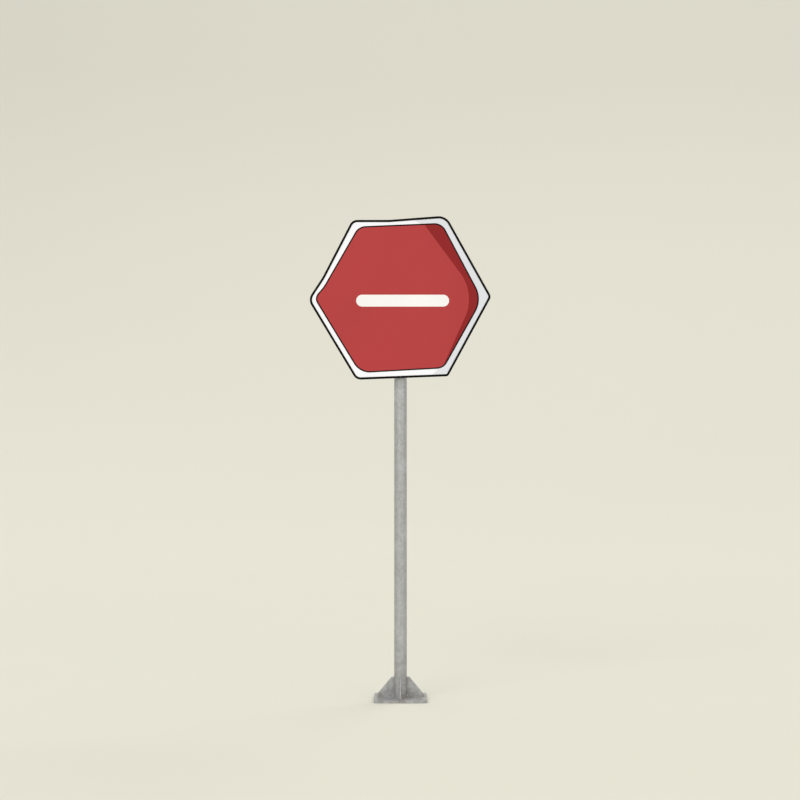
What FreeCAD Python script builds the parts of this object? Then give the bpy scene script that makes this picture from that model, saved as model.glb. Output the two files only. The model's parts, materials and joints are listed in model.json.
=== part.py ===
# Signpost: a six-sided traffic sign with a white border, clamped to a round steel post that stands
# on a bolted base plate. Millimetres, +Z up. The origin is on the post's axis, at the underside of
# the base plate. The sign faces -Y, so +X is to the right of someone who reads it.
import FreeCAD, Part
import math
import os
import re
import Sketcher

# Driving dimensions, in millimetres and degrees. Each becomes a cell of the sheet, under this name.
SIZES = {
    # the sign's outer outline: a six-sided shape cut a little freely, so that each edge is turned,
    # and stands beyond or short of half the across-flats, and two edges bend inwards part way
    "across_flats": 750,
    "skew_upper_right": -0.8,
    "skew_top": 4.3,
    "skew_top_shoulder": 0,
    "skew_upper_left": 2.6,
    "skew_left_shoulder": -3.2,
    "skew_lower_left": 1.0,
    "skew_bottom": 2.2,
    "skew_lower_right": 1.5,
    "beyond_upper_right": 1.7,
    "beyond_top": -4.0,
    "beyond_top_shoulder": -7.0,
    "beyond_upper_left": -3.6,
    "beyond_left_shoulder": -13.8,
    "beyond_lower_left": 3.4,
    "beyond_bottom": 2.9,
    "beyond_lower_right": -1.5,
    "corner_top_right": 62,
    "corner_top_bend": 200,
    "corner_top_left": 40,
    "corner_left_bend": 300,
    "corner_left": 50,
    "corner_bottom_left": 40,
    "corner_bottom_right": 16,
    "corner_right": 26,
    "sign_height": 1900,  # the sign's centre above the ground
    # aluminium plate and the edging pushed over its rim
    "plate_thickness": 3,
    "trim_wall": 2,
    "trim_leg": 1.6,
    "trim_face": 10.5,
    "trim_joint_gap": 0.8,
    # films on the face: white border, black keyline, red field, shade tones and the legend
    # (a border is measured from the sign's centre, square to the field's edge)
    "border_film": 0.4,
    "field_film": 0.3,
    "shade_film": 0.15,
    "border_upper_right": 27.8,
    "border_top": 15.2,
    "border_upper_left": 20.8,
    "border_left_shoulder": 41.3,
    "border_lower_left": 19.2,
    "border_bottom": 24.0,
    "border_lower_right": 22.3,
    "keyline_width": 6.5,
    "field_skew_upper_right": -2.0,
    "field_skew_top": 2.4,
    "field_skew_upper_left": 0,
    "field_skew_left_shoulder": -10.6,
    "field_skew_lower_left": 1.3,
    "field_skew_bottom": 3.2,
    "field_skew_lower_right": 0.7,
    "field_corner_top_right": 53,
    "field_corner_top_left": 52,
    "field_corner_left_bend": 177,
    "field_corner_left": 32,
    "field_corner_bottom_left": 82,
    "field_corner_bottom_right": 50,
    "field_corner_right": 116,
    "shade_upper_turn": 36.5,
    "shade_upper_margin": 79,
    "shade_lower_turn": -24.3,
    "shade_lower_margin": 60,
    "shade_round": 205,
    "border_shade_head_turn": 60,
    "border_shade_head_margin": 24,
    "border_shade_foot_turn": -45,
    "border_shade_foot_margin": 13,
    "legend_width": 438,
    "legend_height": 56,
    "legend_end_flat": 0.2,
    "legend_right": 10,
    "legend_drop": 13,
    # hat-section rails riveted to the back of the plate
    "rail_offset": 190,
    "rail_width": 44,
    "rail_depth": 14,
    "rail_flange": 2,
    "rail_wall": 2.4,
    "rail_lip": 2.5,
    "rail_slot_clearance": 0.5,
    "rail_head_clearance": 0.3,
    "rail_end_margin": 18,
    "end_cap_thickness": 2.5,
    "end_cap_plug": 8,
    "end_cap_clearance": 0.2,
    "rivet_diameter": 4.8,
    "rivet_clearance": 0.05,
    "rivet_countersink": 2,
    "rivet_bulb_diameter": 8,
    "rivet_bulb_height": 4.2,
    "rivet_bulb_chamfer": 1.2,
    "rivet_end_distance": 30,
    # straps that hold the rails to the post
    "clamp_clearance": 0.3,
    "strap_thickness": 4,
    "strap_width": 30,
    "strap_bend": 3,
    "strap_ear": 28,
    "strap_ear_round": 7,
    "strap_hole_clearance": 0.5,
    "bolt_inset": 15,
    "bolt_diameter": 8,
    "bolt_head_flats": 13,
    "bolt_head_height": 5.3,
    "bolt_end": 4,
    "bolt_chamfer": 1,
    "washer_diameter": 16,
    "washer_clearance": 0.2,
    "washer_thickness": 1.6,
    "nut_flats": 13,
    "nut_height": 6.5,
    "nut_bore_clearance": 0.05,
    # blank data label on the plate's back
    "label_width": 90,
    "label_height": 55,
    "label_film": 0.2,
    "label_corner": 4,
    "label_left": 190,
    "label_drop": 40,
    # post, cap and welded foot
    "post_diameter": 60.3,
    "post_wall": 3.2,
    "post_above_rail": 110,
    "cap_clearance": 0.1,
    "cap_wall": 2.2,
    "cap_skirt": 24,
    "cap_shoulder": 3,
    "cap_crown": 9,
    "cap_crown_inset": 12,
    "cap_round": 5,
    "base_edge_distance": 30,
    "base_thickness": 12,
    "base_corner": 18,
    "base_edge_chamfer": 1,
    "anchor_spacing": 190,
    "anchor_hole": 18,
    "drain_hole": 24,
    "foot_weld": 6,
    "gusset_thickness": 8,
    "gusset_height": 95,
    "gusset_edge_margin": 14,
    "gusset_tip": 12,
    "gusset_snipe": 10,
    "gusset_weld": 4,
}

# Depths in front of the post's axis, along -Y, that several pieces share.
POST_RADIUS = "post_diameter / 2"
RAIL_FACE = f"({POST_RADIUS} + clamp_clearance)"
LIP_INSIDE = f"({RAIL_FACE} + rail_lip)"
PLATE_BACK = f"({RAIL_FACE} + rail_depth)"
FLANGE_BACK = f"({PLATE_BACK} - rail_flange)"
PLATE_FRONT = f"({PLATE_BACK} + plate_thickness)"
BORDER_FRONT = f"({PLATE_FRONT} + border_film)"
FIELD_FRONT = f"({BORDER_FRONT} + field_film)"
STRAP_BACK = f"({RAIL_FACE} - strap_thickness)"
WASHER_BACK = f"({STRAP_BACK} - washer_thickness)"
NUT_BACK = f"({WASHER_BACK} - nut_height)"

# Heights, lengths and places that several pieces share.
RAIL_HEIGHT = "(sign_height + rail_offset)"
RAIL_HALF = (
    "((across_flats / 2 - trim_face - (rail_offset + rail_width / 2) * sin(30 deg))"
    " / cos(30 deg) - rail_end_margin)"
)
RIVET_END = f"({RAIL_HALF} - rivet_end_distance)"
RIVET_PITCH = f"({RIVET_END} * 2 / 3)"
CHANNEL_INSIDE = "(bolt_head_flats / 2 + rail_head_clearance)"
CHANNEL_OUTSIDE = f"({CHANNEL_INSIDE} + rail_wall)"
SLOT_HALF = "(bolt_diameter / 2 + rail_slot_clearance)"
RIVET_ROW = f"(({CHANNEL_OUTSIDE} + rail_width / 2) / 2)"
RIVETS_PER_ROW = 4
STRAP_BORE = RAIL_FACE
STRAP_OUTSIDE = f"({STRAP_BORE} + strap_thickness)"
EAR_REACH = f"({STRAP_OUTSIDE} + strap_ear)"
BOLT_PLACE = f"({STRAP_OUTSIDE} + bolt_inset)"
POST_TOP = f"({RAIL_HEIGHT} + post_above_rail)"
BASE_HALF = "(anchor_spacing / 2 + base_edge_distance)"
GUSSET_REACH = f"({BASE_HALF} - gusset_edge_margin)"

# The outline's edges anticlockwise from the upper right: name, and which way it faces at no skew.
EDGES = [("upper_right", 30), ("top", 90), ("top_shoulder", 90), ("upper_left", 150),
         ("left_shoulder", 150), ("lower_left", 210), ("bottom", 270), ("lower_right", 330)]
# The corner that follows each edge, anticlockwise. At a bend the outline turns inwards.
CORNERS = ["top_right", "top_bend", "top_left", "left_bend", "left", "bottom_left", "bottom_right",
           "right"]
# The field has no bend along its top.
FIELD_EDGES = [edge for edge in EDGES if edge[0] != "top_shoulder"]
FIELD_CORNERS = [corner for corner in CORNERS if corner != "top_bend"]

TINY = 1e-4

doc = FreeCAD.newDocument("signpost")
sheet = doc.addObject("Spreadsheet::Sheet", "sizes")
for row, (alias, value) in enumerate(SIZES.items(), start=1):
    sheet.set(f"A{row}", alias)
    sheet.set(f"B{row}", str(value))
    sheet.setAlias(f"B{row}", alias)
working_sheet = doc.addObject("Spreadsheet::Sheet", "working")
worked_out = {}
doc.recompute()


def cells(formula):
    """The formula with each size's name turned into a reference to its cell."""
    return re.sub(r"[a-z_]+", lambda m: f"sizes.{m[0]}" if m[0] in SIZES else m[0], str(formula))


def number(formula):
    """What the formula comes to now, worked out in the working sheet's one cell."""
    if formula not in worked_out:
        working_sheet.set("A1", f"={cells(formula)}")
        working_sheet.recompute()
        found = working_sheet.get("A1")
        worked_out[formula] = float(getattr(found, "Value", found))
    return worked_out[formula]


def bind(item, path, formula):
    item.setExpression(path, cells(formula))


def new_body(label):
    body = doc.addObject("PartDesign::Body", label)
    body.Label = label
    return body


def origin_part(body, role):
    return next(o for o in body.Origin.OriginFeatures if o.Role == role)


def new_sketch(body, plane, depth="0", right="0", rise="0"):
    """A sketch on one of the body's origin planes, moved out by depth and across by right and rise."""
    sketch = body.newObject("Sketcher::SketchObject", f"{body.Label}_sketch")
    sketch.AttachmentSupport = [(origin_part(body, plane), "")]
    sketch.MapMode = "FlatFace"
    bind(sketch, "AttachmentOffset.Base.x", right)
    bind(sketch, "AttachmentOffset.Base.y", rise)
    bind(sketch, "AttachmentOffset.Base.z", depth)
    return sketch


def dimension(sketch, kind, *where_and_formula):
    """One dimensional constraint whose value is bound to a formula."""
    *where, formula = where_and_formula
    now = number(formula)
    if kind == "Angle":
        now = math.radians(now)
        formula = f"({formula}) * 1 deg"
    index = sketch.addConstraint(Sketcher.Constraint(kind, *where, now))
    name = f"size_{index}"
    sketch.renameConstraint(index, name)
    bind(sketch, f"Constraints.{name}", formula)


def place_point(sketch, element, end, across, up):
    dimension(sketch, "DistanceX", -1, 1, element, end, across)
    dimension(sketch, "DistanceY", -1, 1, element, end, up)


def add_circle(sketch, radius, across="0", up="0"):
    centre = FreeCAD.Vector(number(across), number(up), 0)
    circle = Part.Circle(centre, FreeCAD.Vector(0, 0, 1), number(radius))
    element = sketch.addGeometry(circle)
    dimension(sketch, "Radius", element, radius)
    if (across, up) == ("0", "0"):
        sketch.addConstraint(Sketcher.Constraint("Coincident", element, 3, -1, 1))
    else:
        place_point(sketch, element, 3, across, up)


def add_polygon(sketch, corners):
    """A closed outline of straight lines through corners, each a pair of formulas."""
    points = [FreeCAD.Vector(number(x), number(y), 0) for x, y in corners]
    count = len(corners)
    first = sketch.GeometryCount
    for i in range(count):
        sketch.addGeometry(Part.LineSegment(points[i], points[(i + 1) % count]))
    for i, (x, y) in enumerate(corners):
        ahead = first + (i + 1) % count
        sketch.addConstraint(Sketcher.Constraint("Coincident", first + i, 2, ahead, 1))
        place_point(sketch, first + i, 1, x, y)


def add_rectangle(sketch, low_x, high_x, low_y, high_y):
    add_polygon(sketch, [(low_x, low_y), (high_x, low_y), (high_x, high_y), (low_x, high_y)])


def add_faceted(sketch, edges, rounds):
    """An outline round the sketch's origin. Each edge is the way it faces, in degrees, and its
    distance from the origin, anticlockwise; rounds holds the radius of the corner after each edge,
    or None for a sharp one. Where the next edge faces further back, the corner is a hollow one."""
    count = len(edges)
    faces = [math.radians(number(turn)) for turn, _ in edges]
    reaches = [number(reach) for _, reach in edges]

    def corner(i, inset=0.0):
        j = (i + 1) % count
        near, far = reaches[i] - inset, reaches[j] - inset
        span = math.sin(faces[j] - faces[i])
        return FreeCAD.Vector(
            (near * math.sin(faces[j]) - far * math.sin(faces[i])) / span,
            (far * math.cos(faces[i]) - near * math.cos(faces[j])) / span, 0)

    def outward(i):
        return FreeCAD.Vector(math.cos(faces[i]), math.sin(faces[i]), 0)

    hollow = [math.sin(faces[(i + 1) % count] - faces[i]) < 0 for i in range(count)]
    radii = [(-1 if hollow[i] else 1) * number(r) if r else 0.0 for i, r in enumerate(rounds)]
    centres = [corner(i, radius) for i, radius in enumerate(radii)]
    lines = []
    for i in range(count):
        start = centres[i - 1] + outward(i) * radii[i - 1]
        end = centres[i] + outward(i) * radii[i]
        lines.append(sketch.addGeometry(Part.LineSegment(start, end)))
    for i, round_ in enumerate(rounds):
        ahead = lines[(i + 1) % count]
        if round_:
            begin, stop = faces[i], faces[(i + 1) % count]
            near, far = (2, 1) if hollow[i] else (1, 2)
            if hollow[i]:
                begin, stop = stop + math.pi, begin + math.pi
            stop += 2 * math.pi * (stop < begin)
            circle = Part.Circle(centres[i], FreeCAD.Vector(0, 0, 1), abs(radii[i]))
            arc = sketch.addGeometry(Part.ArcOfCircle(circle, begin, stop))
            sketch.addConstraint(Sketcher.Constraint("Tangent", lines[i], 2, arc, near))
            sketch.addConstraint(Sketcher.Constraint("Tangent", arc, far, ahead, 1))
            dimension(sketch, "Radius", arc, round_)
        else:
            sketch.addConstraint(Sketcher.Constraint("Coincident", lines[i], 2, ahead, 1))
    for line, (turn, reach) in zip(lines, edges):
        along = (number(turn) + 90 + 180) % 360 - 180
        dimension(sketch, "Angle", line, f"{turn} + {round(along - number(turn))}")
        dimension(sketch, "Distance", -1, 1, line, reach)


def add_hexagon(sketch, flats, rounds=(None,) * 6):
    add_faceted(sketch, [(str(30 + 60 * i), f"({flats}) / 2") for i in range(6)], rounds)


def pad(body, sketch, length, symmetric=False, reverse=False):
    feature = body.newObject("PartDesign::Pad", f"{body.Label}_pad")
    feature.Profile = sketch
    bind(feature, "Length", length)
    feature.SideType = "Symmetric" if symmetric else "One side"
    feature.Reversed = reverse
    body.Tip = feature
    return feature


def pocket(body, sketch, length, symmetric=False, reverse=False):
    """Cuts the sketch out of the body, against the sketch's normal unless reversed."""
    doc.recompute()
    before = body.Shape.Volume
    feature = body.newObject("PartDesign::Pocket", f"{body.Label}_pocket")
    feature.Profile = sketch
    bind(feature, "Length", length)
    feature.SideType = "Symmetric" if symmetric else "One side"
    feature.Reversed = reverse
    body.Tip = feature
    doc.recompute()
    if body.Shape.Volume > before - TINY:
        raise RuntimeError(f"{feature.Label} cuts nothing")
    return feature


def revolve(body, sketch, axis):
    feature = body.newObject("PartDesign::Revolution", f"{body.Label}_revolution")
    feature.Profile = sketch
    feature.ReferenceAxis = (sketch, [axis])
    feature.Angle = 360
    body.Tip = feature
    return feature


def dress(body, kind, size, wanted):
    """Rounds or chamfers the edges of the body that wanted() picks."""
    doc.recompute()
    base = body.Tip
    names = [f"Edge{i}" for i, edge in enumerate(base.Shape.Edges, start=1) if wanted(edge)]
    if not names:
        raise RuntimeError(f"{body.Label} has no edge to dress")
    feature = body.newObject(f"PartDesign::{kind}", f"{body.Label}_{kind.lower()}")
    feature.Base = (base, names)
    bind(feature, "Size" if kind == "Chamfer" else "Radius", size)
    body.Tip = feature
    return feature


def mirror(body, plane):
    """Adds the body's mirror image in one of its origin planes."""
    feature = body.newObject("PartDesign::Mirrored", f"{body.Label}_mirrored")
    feature.TransformMode = "Whole shape"
    feature.MirrorPlane = (origin_part(body, plane), [""])
    body.Tip = feature
    return feature


def repeat_round(body, count, *features):
    """Repeats the features, or the whole body, evenly round the post."""
    feature = body.newObject("PartDesign::PolarPattern", f"{body.Label}_pattern")
    if features:
        feature.Originals = list(features)
    else:
        feature.TransformMode = "Whole shape"
    feature.Axis = (origin_part(body, "Z_Axis"), [""])
    feature.Angle = 360
    feature.Occurrences = count
    body.Tip = feature
    return feature


def repeat_along(body, axis, pitch, count):
    feature = body.newObject("PartDesign::LinearPattern", f"{body.Label}_row")
    feature.TransformMode = "Whole shape"
    feature.Direction = (origin_part(body, axis), [""])
    feature.Mode = "Spacing"
    bind(feature, "Offset", pitch)
    feature.Occurrences = count
    body.Tip = feature
    return feature


def lower_twin(upper, label):
    """The same piece below the sign's centre, as the upper one's mirror image."""
    twin = doc.addObject("Part::Mirroring", label)
    twin.Label = label
    twin.Source = upper
    twin.Normal = (0, 0, 1)
    bind(twin, "Base.z", "sign_height")
    return twin


def stands_at(edge, *place, tolerance=0.01):
    """Whether both ends of the edge have these coordinates; None leaves one out."""
    return all(
        abs(vertex.Point[i] - wanted) < tolerance
        for vertex in edge.Vertexes for i, wanted in enumerate(place) if wanted is not None)


# Outlines of the face, each a list of edges and a list of corner radii.

def sign_outline(inset):
    edges = [(f"{turn} + skew_{name}", f"across_flats / 2 + beyond_{name} - ({inset})")
             for name, turn in EDGES]
    return edges, [f"corner_{name} {'+' if 'bend' in name else '-'} ({inset})" for name in CORNERS]


def field_outline(outset):
    edges = [
        (f"{turn} + field_skew_{name}",
         f"across_flats / 2 + beyond_{name} - trim_face - border_{name} - keyline_width + ({outset})")
        for name, turn in FIELD_EDGES]
    return edges, [f"field_corner_{name} {'-' if 'bend' in name else '+'} ({outset})"
                   for name in FIELD_CORNERS]


def lit_outline(head=(), foot=()):
    """The part of the face left of the shade tone, closed well outside the sign."""
    edges = [("shade_upper_turn", "across_flats / 2 - shade_upper_margin"), *head,
             ("90", "across_flats"), ("180", "across_flats"), ("270", "across_flats"), *foot,
             ("360 + shade_lower_turn", "across_flats / 2 - shade_lower_margin")]
    return edges, [None] * (len(edges) - 1) + ["shade_round"]


def face_sketch(body, depth, *outlines):
    """A sketch on the sign's face at a depth, with its origin at the sign's centre."""
    sketch = new_sketch(body, "XZ_Plane", depth, rise="sign_height")
    for edges, rounds in outlines:
        add_faceted(sketch, edges, rounds)
    return sketch


def rivet_places():
    """Where the rivets of both rails stand, from the sign's centre."""
    rows = [f"{side} * rail_offset + {flange} * {RIVET_ROW}" for side in (-1, 1) for flange in (-1, 1)]
    columns = [f"-{RIVET_END} + {i} * {RIVET_PITCH}" for i in range(RIVETS_PER_ROW)]
    return [(column, row) for row in rows for column in columns]


# The sign's plate, edging and films.

def make_sign_plate():
    body = new_body("sign_plate")
    pad(body, face_sketch(body, PLATE_BACK, sign_outline("trim_wall")), "plate_thickness")
    holes = face_sketch(body, PLATE_FRONT)
    for across, up in rivet_places():
        add_circle(holes, "rivet_diameter / 2 + rivet_clearance", across, up)
    pocket(body, holes, "plate_thickness")
    front = -number(PLATE_FRONT)
    radius = number("rivet_diameter / 2 + rivet_clearance")

    def is_hole_rim(edge):
        round_ = isinstance(edge.Curve, Part.Circle) and abs(edge.Curve.Radius - radius) < TINY
        return round_ and stands_at(edge, None, front)

    dress(body, "Chamfer", "rivet_countersink", is_hole_rim)


def make_edge_trim():
    blank = new_body("edge_trim_blank")
    back = f"{PLATE_BACK} - trim_leg"
    depth = "plate_thickness + border_film + 2 * trim_leg"
    pad(blank, face_sketch(blank, back, sign_outline("0")), depth)
    front_back = [-number(back), -number(f"{back} + {depth}")]
    dress(blank, "Fillet", "trim_leg / 2",
          lambda edge: any(stands_at(edge, None, y) for y in front_back))
    window = face_sketch(blank, f"{back} + {depth}", sign_outline("trim_face"))
    pocket(blank, window, depth)
    groove = new_body("edge_trim_groove")
    pad(groove, face_sketch(groove, PLATE_BACK, sign_outline("trim_wall")),
        "plate_thickness + border_film")
    joint = new_body("edge_trim_joint")
    slit = new_sketch(joint, "XZ_Plane", back, rise="sign_height")
    add_rectangle(slit, "-trim_joint_gap / 2", "trim_joint_gap / 2",
                  "-across_flats / 2 - 2 * trim_face", "-across_flats / 2 + 2 * trim_face")
    pad(joint, slit, depth)
    channel = doc.addObject("Part::Cut", "edge_trim_closed")
    channel.Base, channel.Tool = blank, groove
    trim = doc.addObject("Part::Cut", "edge_trim")
    trim.Label = "edge_trim"
    trim.Base, trim.Tool = channel, joint


def make_films():
    border = new_body("border_film_white")
    pad(border, face_sketch(border, PLATE_FRONT, sign_outline("trim_wall")), "border_film")

    keyline = new_body("keyline_film")
    ring = face_sketch(keyline, BORDER_FRONT, field_outline("keyline_width"), field_outline("0"))
    pad(keyline, ring, "field_film")

    field = new_body("field_film_red")
    pad(field, face_sketch(field, BORDER_FRONT, field_outline("0")), "field_film")

    border_shade = new_body("border_shade_film")
    ring = face_sketch(border_shade, BORDER_FRONT,
                       sign_outline("trim_face"), field_outline("keyline_width"))
    pad(border_shade, ring, "shade_film")
    head = ("border_shade_head_turn", "across_flats / 2 - border_shade_head_margin")
    foot = ("360 + border_shade_foot_turn", "across_flats / 2 - border_shade_foot_margin")
    lit = face_sketch(border_shade, f"{BORDER_FRONT} + shade_film", lit_outline([head], [foot]))
    pocket(border_shade, lit, "shade_film")

    field_shade = new_body("field_shade_film")
    pad(field_shade, face_sketch(field_shade, FIELD_FRONT, field_outline("0")), "shade_film")
    lit = face_sketch(field_shade, f"{FIELD_FRONT} + shade_film", lit_outline())
    pocket(field_shade, lit, "shade_film")

    legend = new_body("legend_bar")
    bar = new_sketch(legend, "XZ_Plane", FIELD_FRONT, "legend_right", "sign_height - legend_drop")
    sides = [("0", "legend_width / 2"), ("90", "legend_height / 2"),
             ("180", "legend_width / 2"), ("270", "legend_height / 2")]
    add_faceted(bar, sides, ["(legend_height - legend_end_flat) / 2"] * 4)
    pad(legend, bar, "field_film")


def make_rear_label():
    body = new_body("rear_label")
    face = new_sketch(body, "XZ_Plane", f"{PLATE_BACK} - label_film",
                      "label_left", "sign_height - label_drop")
    sides = [("0", "label_width / 2"), ("90", "label_height / 2"),
             ("180", "label_width / 2"), ("270", "label_height / 2")]
    add_faceted(face, sides, ["label_corner"] * 4)
    pad(body, face, "label_film")


# Rails, their rivets and end caps.

def make_rails():
    body = new_body("upper_rail")
    profile = new_sketch(body, "YZ_Plane", rise=RAIL_HEIGHT)
    half = [(f"-{FLANGE_BACK}", CHANNEL_INSIDE), (f"-{LIP_INSIDE}", CHANNEL_INSIDE),
            (f"-{LIP_INSIDE}", SLOT_HALF), (f"-{RAIL_FACE}", SLOT_HALF),
            (f"-{RAIL_FACE}", CHANNEL_OUTSIDE), (f"-{FLANGE_BACK}", CHANNEL_OUTSIDE),
            (f"-{FLANGE_BACK}", "rail_width / 2"), (f"-{PLATE_BACK}", "rail_width / 2")]
    add_polygon(profile, half + [(y, f"-({z})") for y, z in reversed(half)])
    pad(body, profile, f"2 * {RAIL_HALF}", symmetric=True)
    holes = new_sketch(body, "XZ_Plane", PLATE_BACK, rise=RAIL_HEIGHT)
    for flange in (-1, 1):
        for i in range(RIVETS_PER_ROW):
            add_circle(holes, "rivet_diameter / 2 + rivet_clearance",
                       f"-{RIVET_END} + {i} * {RIVET_PITCH}", f"{flange} * {RIVET_ROW}")
    pocket(body, holes, "rail_flange")
    lower_twin(body, "lower_rail")


def make_rivets():
    body = new_body("upper_rail_rivets")
    row_height = f"{RAIL_HEIGHT} - {RIVET_ROW}"
    profile = new_sketch(body, "XY_Plane", depth=row_height, right=f"-{RIVET_END}")
    shank = "rivet_diameter / 2"
    bulb = "rivet_bulb_diameter / 2"
    bulb_back = f"-({FLANGE_BACK} - rivet_bulb_height)"
    add_polygon(profile, [
        ("0", f"-{PLATE_FRONT}"), (f"{shank} + rivet_countersink", f"-{PLATE_FRONT}"),
        (shank, f"-({PLATE_FRONT} - rivet_countersink)"), (shank, f"-{FLANGE_BACK}"),
        (bulb, f"-{FLANGE_BACK}"), (bulb, f"{bulb_back} - rivet_bulb_chamfer"),
        (f"{bulb} - rivet_bulb_chamfer", bulb_back), ("0", bulb_back)])
    revolve(body, profile, "V_Axis")
    repeat_along(body, "X_Axis", RIVET_PITCH, RIVETS_PER_ROW)
    repeat_along(body, "Z_Axis", f"2 * {RIVET_ROW}", 2)
    lower_twin(body, "lower_rail_rivets")


def make_rail_end_caps():
    body = new_body("upper_rail_end_caps")
    cover = new_sketch(body, "YZ_Plane", RAIL_HALF, rise=RAIL_HEIGHT)
    add_rectangle(cover, f"-{FLANGE_BACK}", f"-{RAIL_FACE}", f"-{CHANNEL_OUTSIDE}", CHANNEL_OUTSIDE)
    pad(body, cover, "end_cap_thickness")
    plug = new_sketch(body, "YZ_Plane", RAIL_HALF, rise=RAIL_HEIGHT)
    add_rectangle(plug, f"-({FLANGE_BACK} - end_cap_clearance)", f"-({LIP_INSIDE} + end_cap_clearance)",
                  f"-({CHANNEL_INSIDE} - end_cap_clearance)", f"{CHANNEL_INSIDE} - end_cap_clearance")
    pad(body, plug, "end_cap_plug", reverse=True)
    mirror(body, "YZ_Plane")
    lower_twin(body, "lower_rail_end_caps")


# Clamps: strap, bolts, washers and nuts.

def make_clamp_straps():
    body = new_body("upper_clamp_strap")

    def level_sketch():
        return new_sketch(body, "XY_Plane", depth=RAIL_HEIGHT)

    hoop = level_sketch()
    add_circle(hoop, STRAP_OUTSIDE)
    pad(body, hoop, "strap_width", symmetric=True)
    legs = level_sketch()
    add_rectangle(legs, f"-{STRAP_OUTSIDE}", STRAP_OUTSIDE, f"-{RAIL_FACE}", "0")
    pad(body, legs, "strap_width", symmetric=True)
    ears = level_sketch()
    add_rectangle(ears, f"-{EAR_REACH}", EAR_REACH, f"-{RAIL_FACE}", f"-{STRAP_BACK}")
    pad(body, ears, "strap_width", symmetric=True)
    bore = level_sketch()
    add_circle(bore, STRAP_BORE)
    pocket(body, bore, "2 * strap_width", symmetric=True)
    mouth = level_sketch()
    add_rectangle(mouth, f"-{STRAP_BORE}", STRAP_BORE, f"-2 * {STRAP_OUTSIDE}", "0")
    pocket(body, mouth, "2 * strap_width", symmetric=True)
    holes = new_sketch(body, "XZ_Plane", RAIL_FACE, rise=RAIL_HEIGHT)
    for side in ("-", ""):
        add_circle(holes, "bolt_diameter / 2 + strap_hole_clearance", f"{side}{BOLT_PLACE}")
    pocket(body, holes, "strap_thickness")
    inside, outside, tip = number(STRAP_BORE), number(STRAP_OUTSIDE), number(EAR_REACH)
    face, back = -number(RAIL_FACE), -number(STRAP_BACK)
    dress(body, "Fillet", "strap_bend",
          lambda edge: stands_at(edge, outside, back) or stands_at(edge, -outside, back))
    dress(body, "Fillet", "strap_bend + strap_thickness",
          lambda edge: stands_at(edge, inside, face) or stands_at(edge, -inside, face))
    ends = [number(f"{RAIL_HEIGHT} {sign} strap_width / 2") for sign in "+-"]
    dress(body, "Fillet", "strap_ear_round",
          lambda edge: any(stands_at(edge, x, None, z) for x in (-tip, tip) for z in ends))
    lower_twin(body, "lower_clamp_strap")


def make_clamp_bolts():
    body = new_body("upper_clamp_bolts")
    head = new_sketch(body, "XZ_Plane", LIP_INSIDE, BOLT_PLACE, RAIL_HEIGHT)
    add_hexagon(head, "bolt_head_flats")
    pad(body, head, "bolt_head_height")
    shank = new_sketch(body, "XZ_Plane", LIP_INSIDE, BOLT_PLACE, RAIL_HEIGHT)
    add_circle(shank, "bolt_diameter / 2")
    pad(body, shank, f"{LIP_INSIDE} - {NUT_BACK} + bolt_end", reverse=True)
    end = -number(f"{NUT_BACK} - bolt_end")
    dress(body, "Chamfer", "bolt_chamfer", lambda edge: stands_at(edge, None, end))
    mirror(body, "YZ_Plane")
    lower_twin(body, "lower_clamp_bolts")


def make_clamp_washers():
    body = new_body("upper_clamp_washers")
    ring = new_sketch(body, "XZ_Plane", WASHER_BACK, BOLT_PLACE, RAIL_HEIGHT)
    add_circle(ring, "washer_diameter / 2")
    add_circle(ring, "bolt_diameter / 2 + washer_clearance")
    pad(body, ring, "washer_thickness")
    mirror(body, "YZ_Plane")
    lower_twin(body, "lower_clamp_washers")


def make_clamp_nuts():
    body = new_body("upper_clamp_nuts")
    hexagon = new_sketch(body, "XZ_Plane", NUT_BACK, BOLT_PLACE, RAIL_HEIGHT)
    add_hexagon(hexagon, "nut_flats")
    add_circle(hexagon, "bolt_diameter / 2 + nut_bore_clearance")
    pad(body, hexagon, "nut_height")
    mirror(body, "YZ_Plane")
    lower_twin(body, "lower_clamp_nuts")


# Post, cap and foot.

def make_post_tube():
    body = new_body("post_tube")
    ring = new_sketch(body, "XY_Plane", "base_thickness")
    add_circle(ring, POST_RADIUS)
    add_circle(ring, f"{POST_RADIUS} - post_wall")
    pad(body, ring, f"{POST_TOP} - base_thickness")


def make_post_cap():
    body = new_body("post_cap")
    profile = new_sketch(body, "XZ_Plane", rise=POST_TOP)
    inside = f"{POST_RADIUS} + cap_clearance"
    outside = f"{inside} + cap_wall"
    add_polygon(profile, [
        ("0", "0"), (inside, "0"), (inside, "-cap_skirt"), (outside, "-cap_skirt"),
        (outside, "cap_shoulder"), (f"{outside} - cap_crown_inset", "cap_crown"),
        ("0", "cap_crown")])
    revolve(body, profile, "V_Axis")
    levels = [number(f"{POST_TOP} + cap_shoulder"), number(f"{POST_TOP} + cap_crown")]
    dress(body, "Fillet", "cap_round",
          lambda edge: any(stands_at(edge, None, None, z) for z in levels))


def make_base_plate():
    body = new_body("base_plate")
    plan = new_sketch(body, "XY_Plane")
    add_faceted(plan, [(str(turn), BASE_HALF) for turn in (0, 90, 180, 270)],
                ["base_corner"] * 4)
    pad(body, plan, "base_thickness")
    top = number("base_thickness")
    dress(body, "Chamfer", "base_edge_chamfer", lambda edge: stands_at(edge, None, None, top))
    holes = new_sketch(body, "XY_Plane", "base_thickness")
    for x in ("-", ""):
        for y in ("-", ""):
            add_circle(holes, "anchor_hole / 2", f"{x}anchor_spacing / 2", f"{y}anchor_spacing / 2")
    add_circle(holes, "drain_hole / 2")
    pocket(body, holes, "base_thickness")


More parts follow.
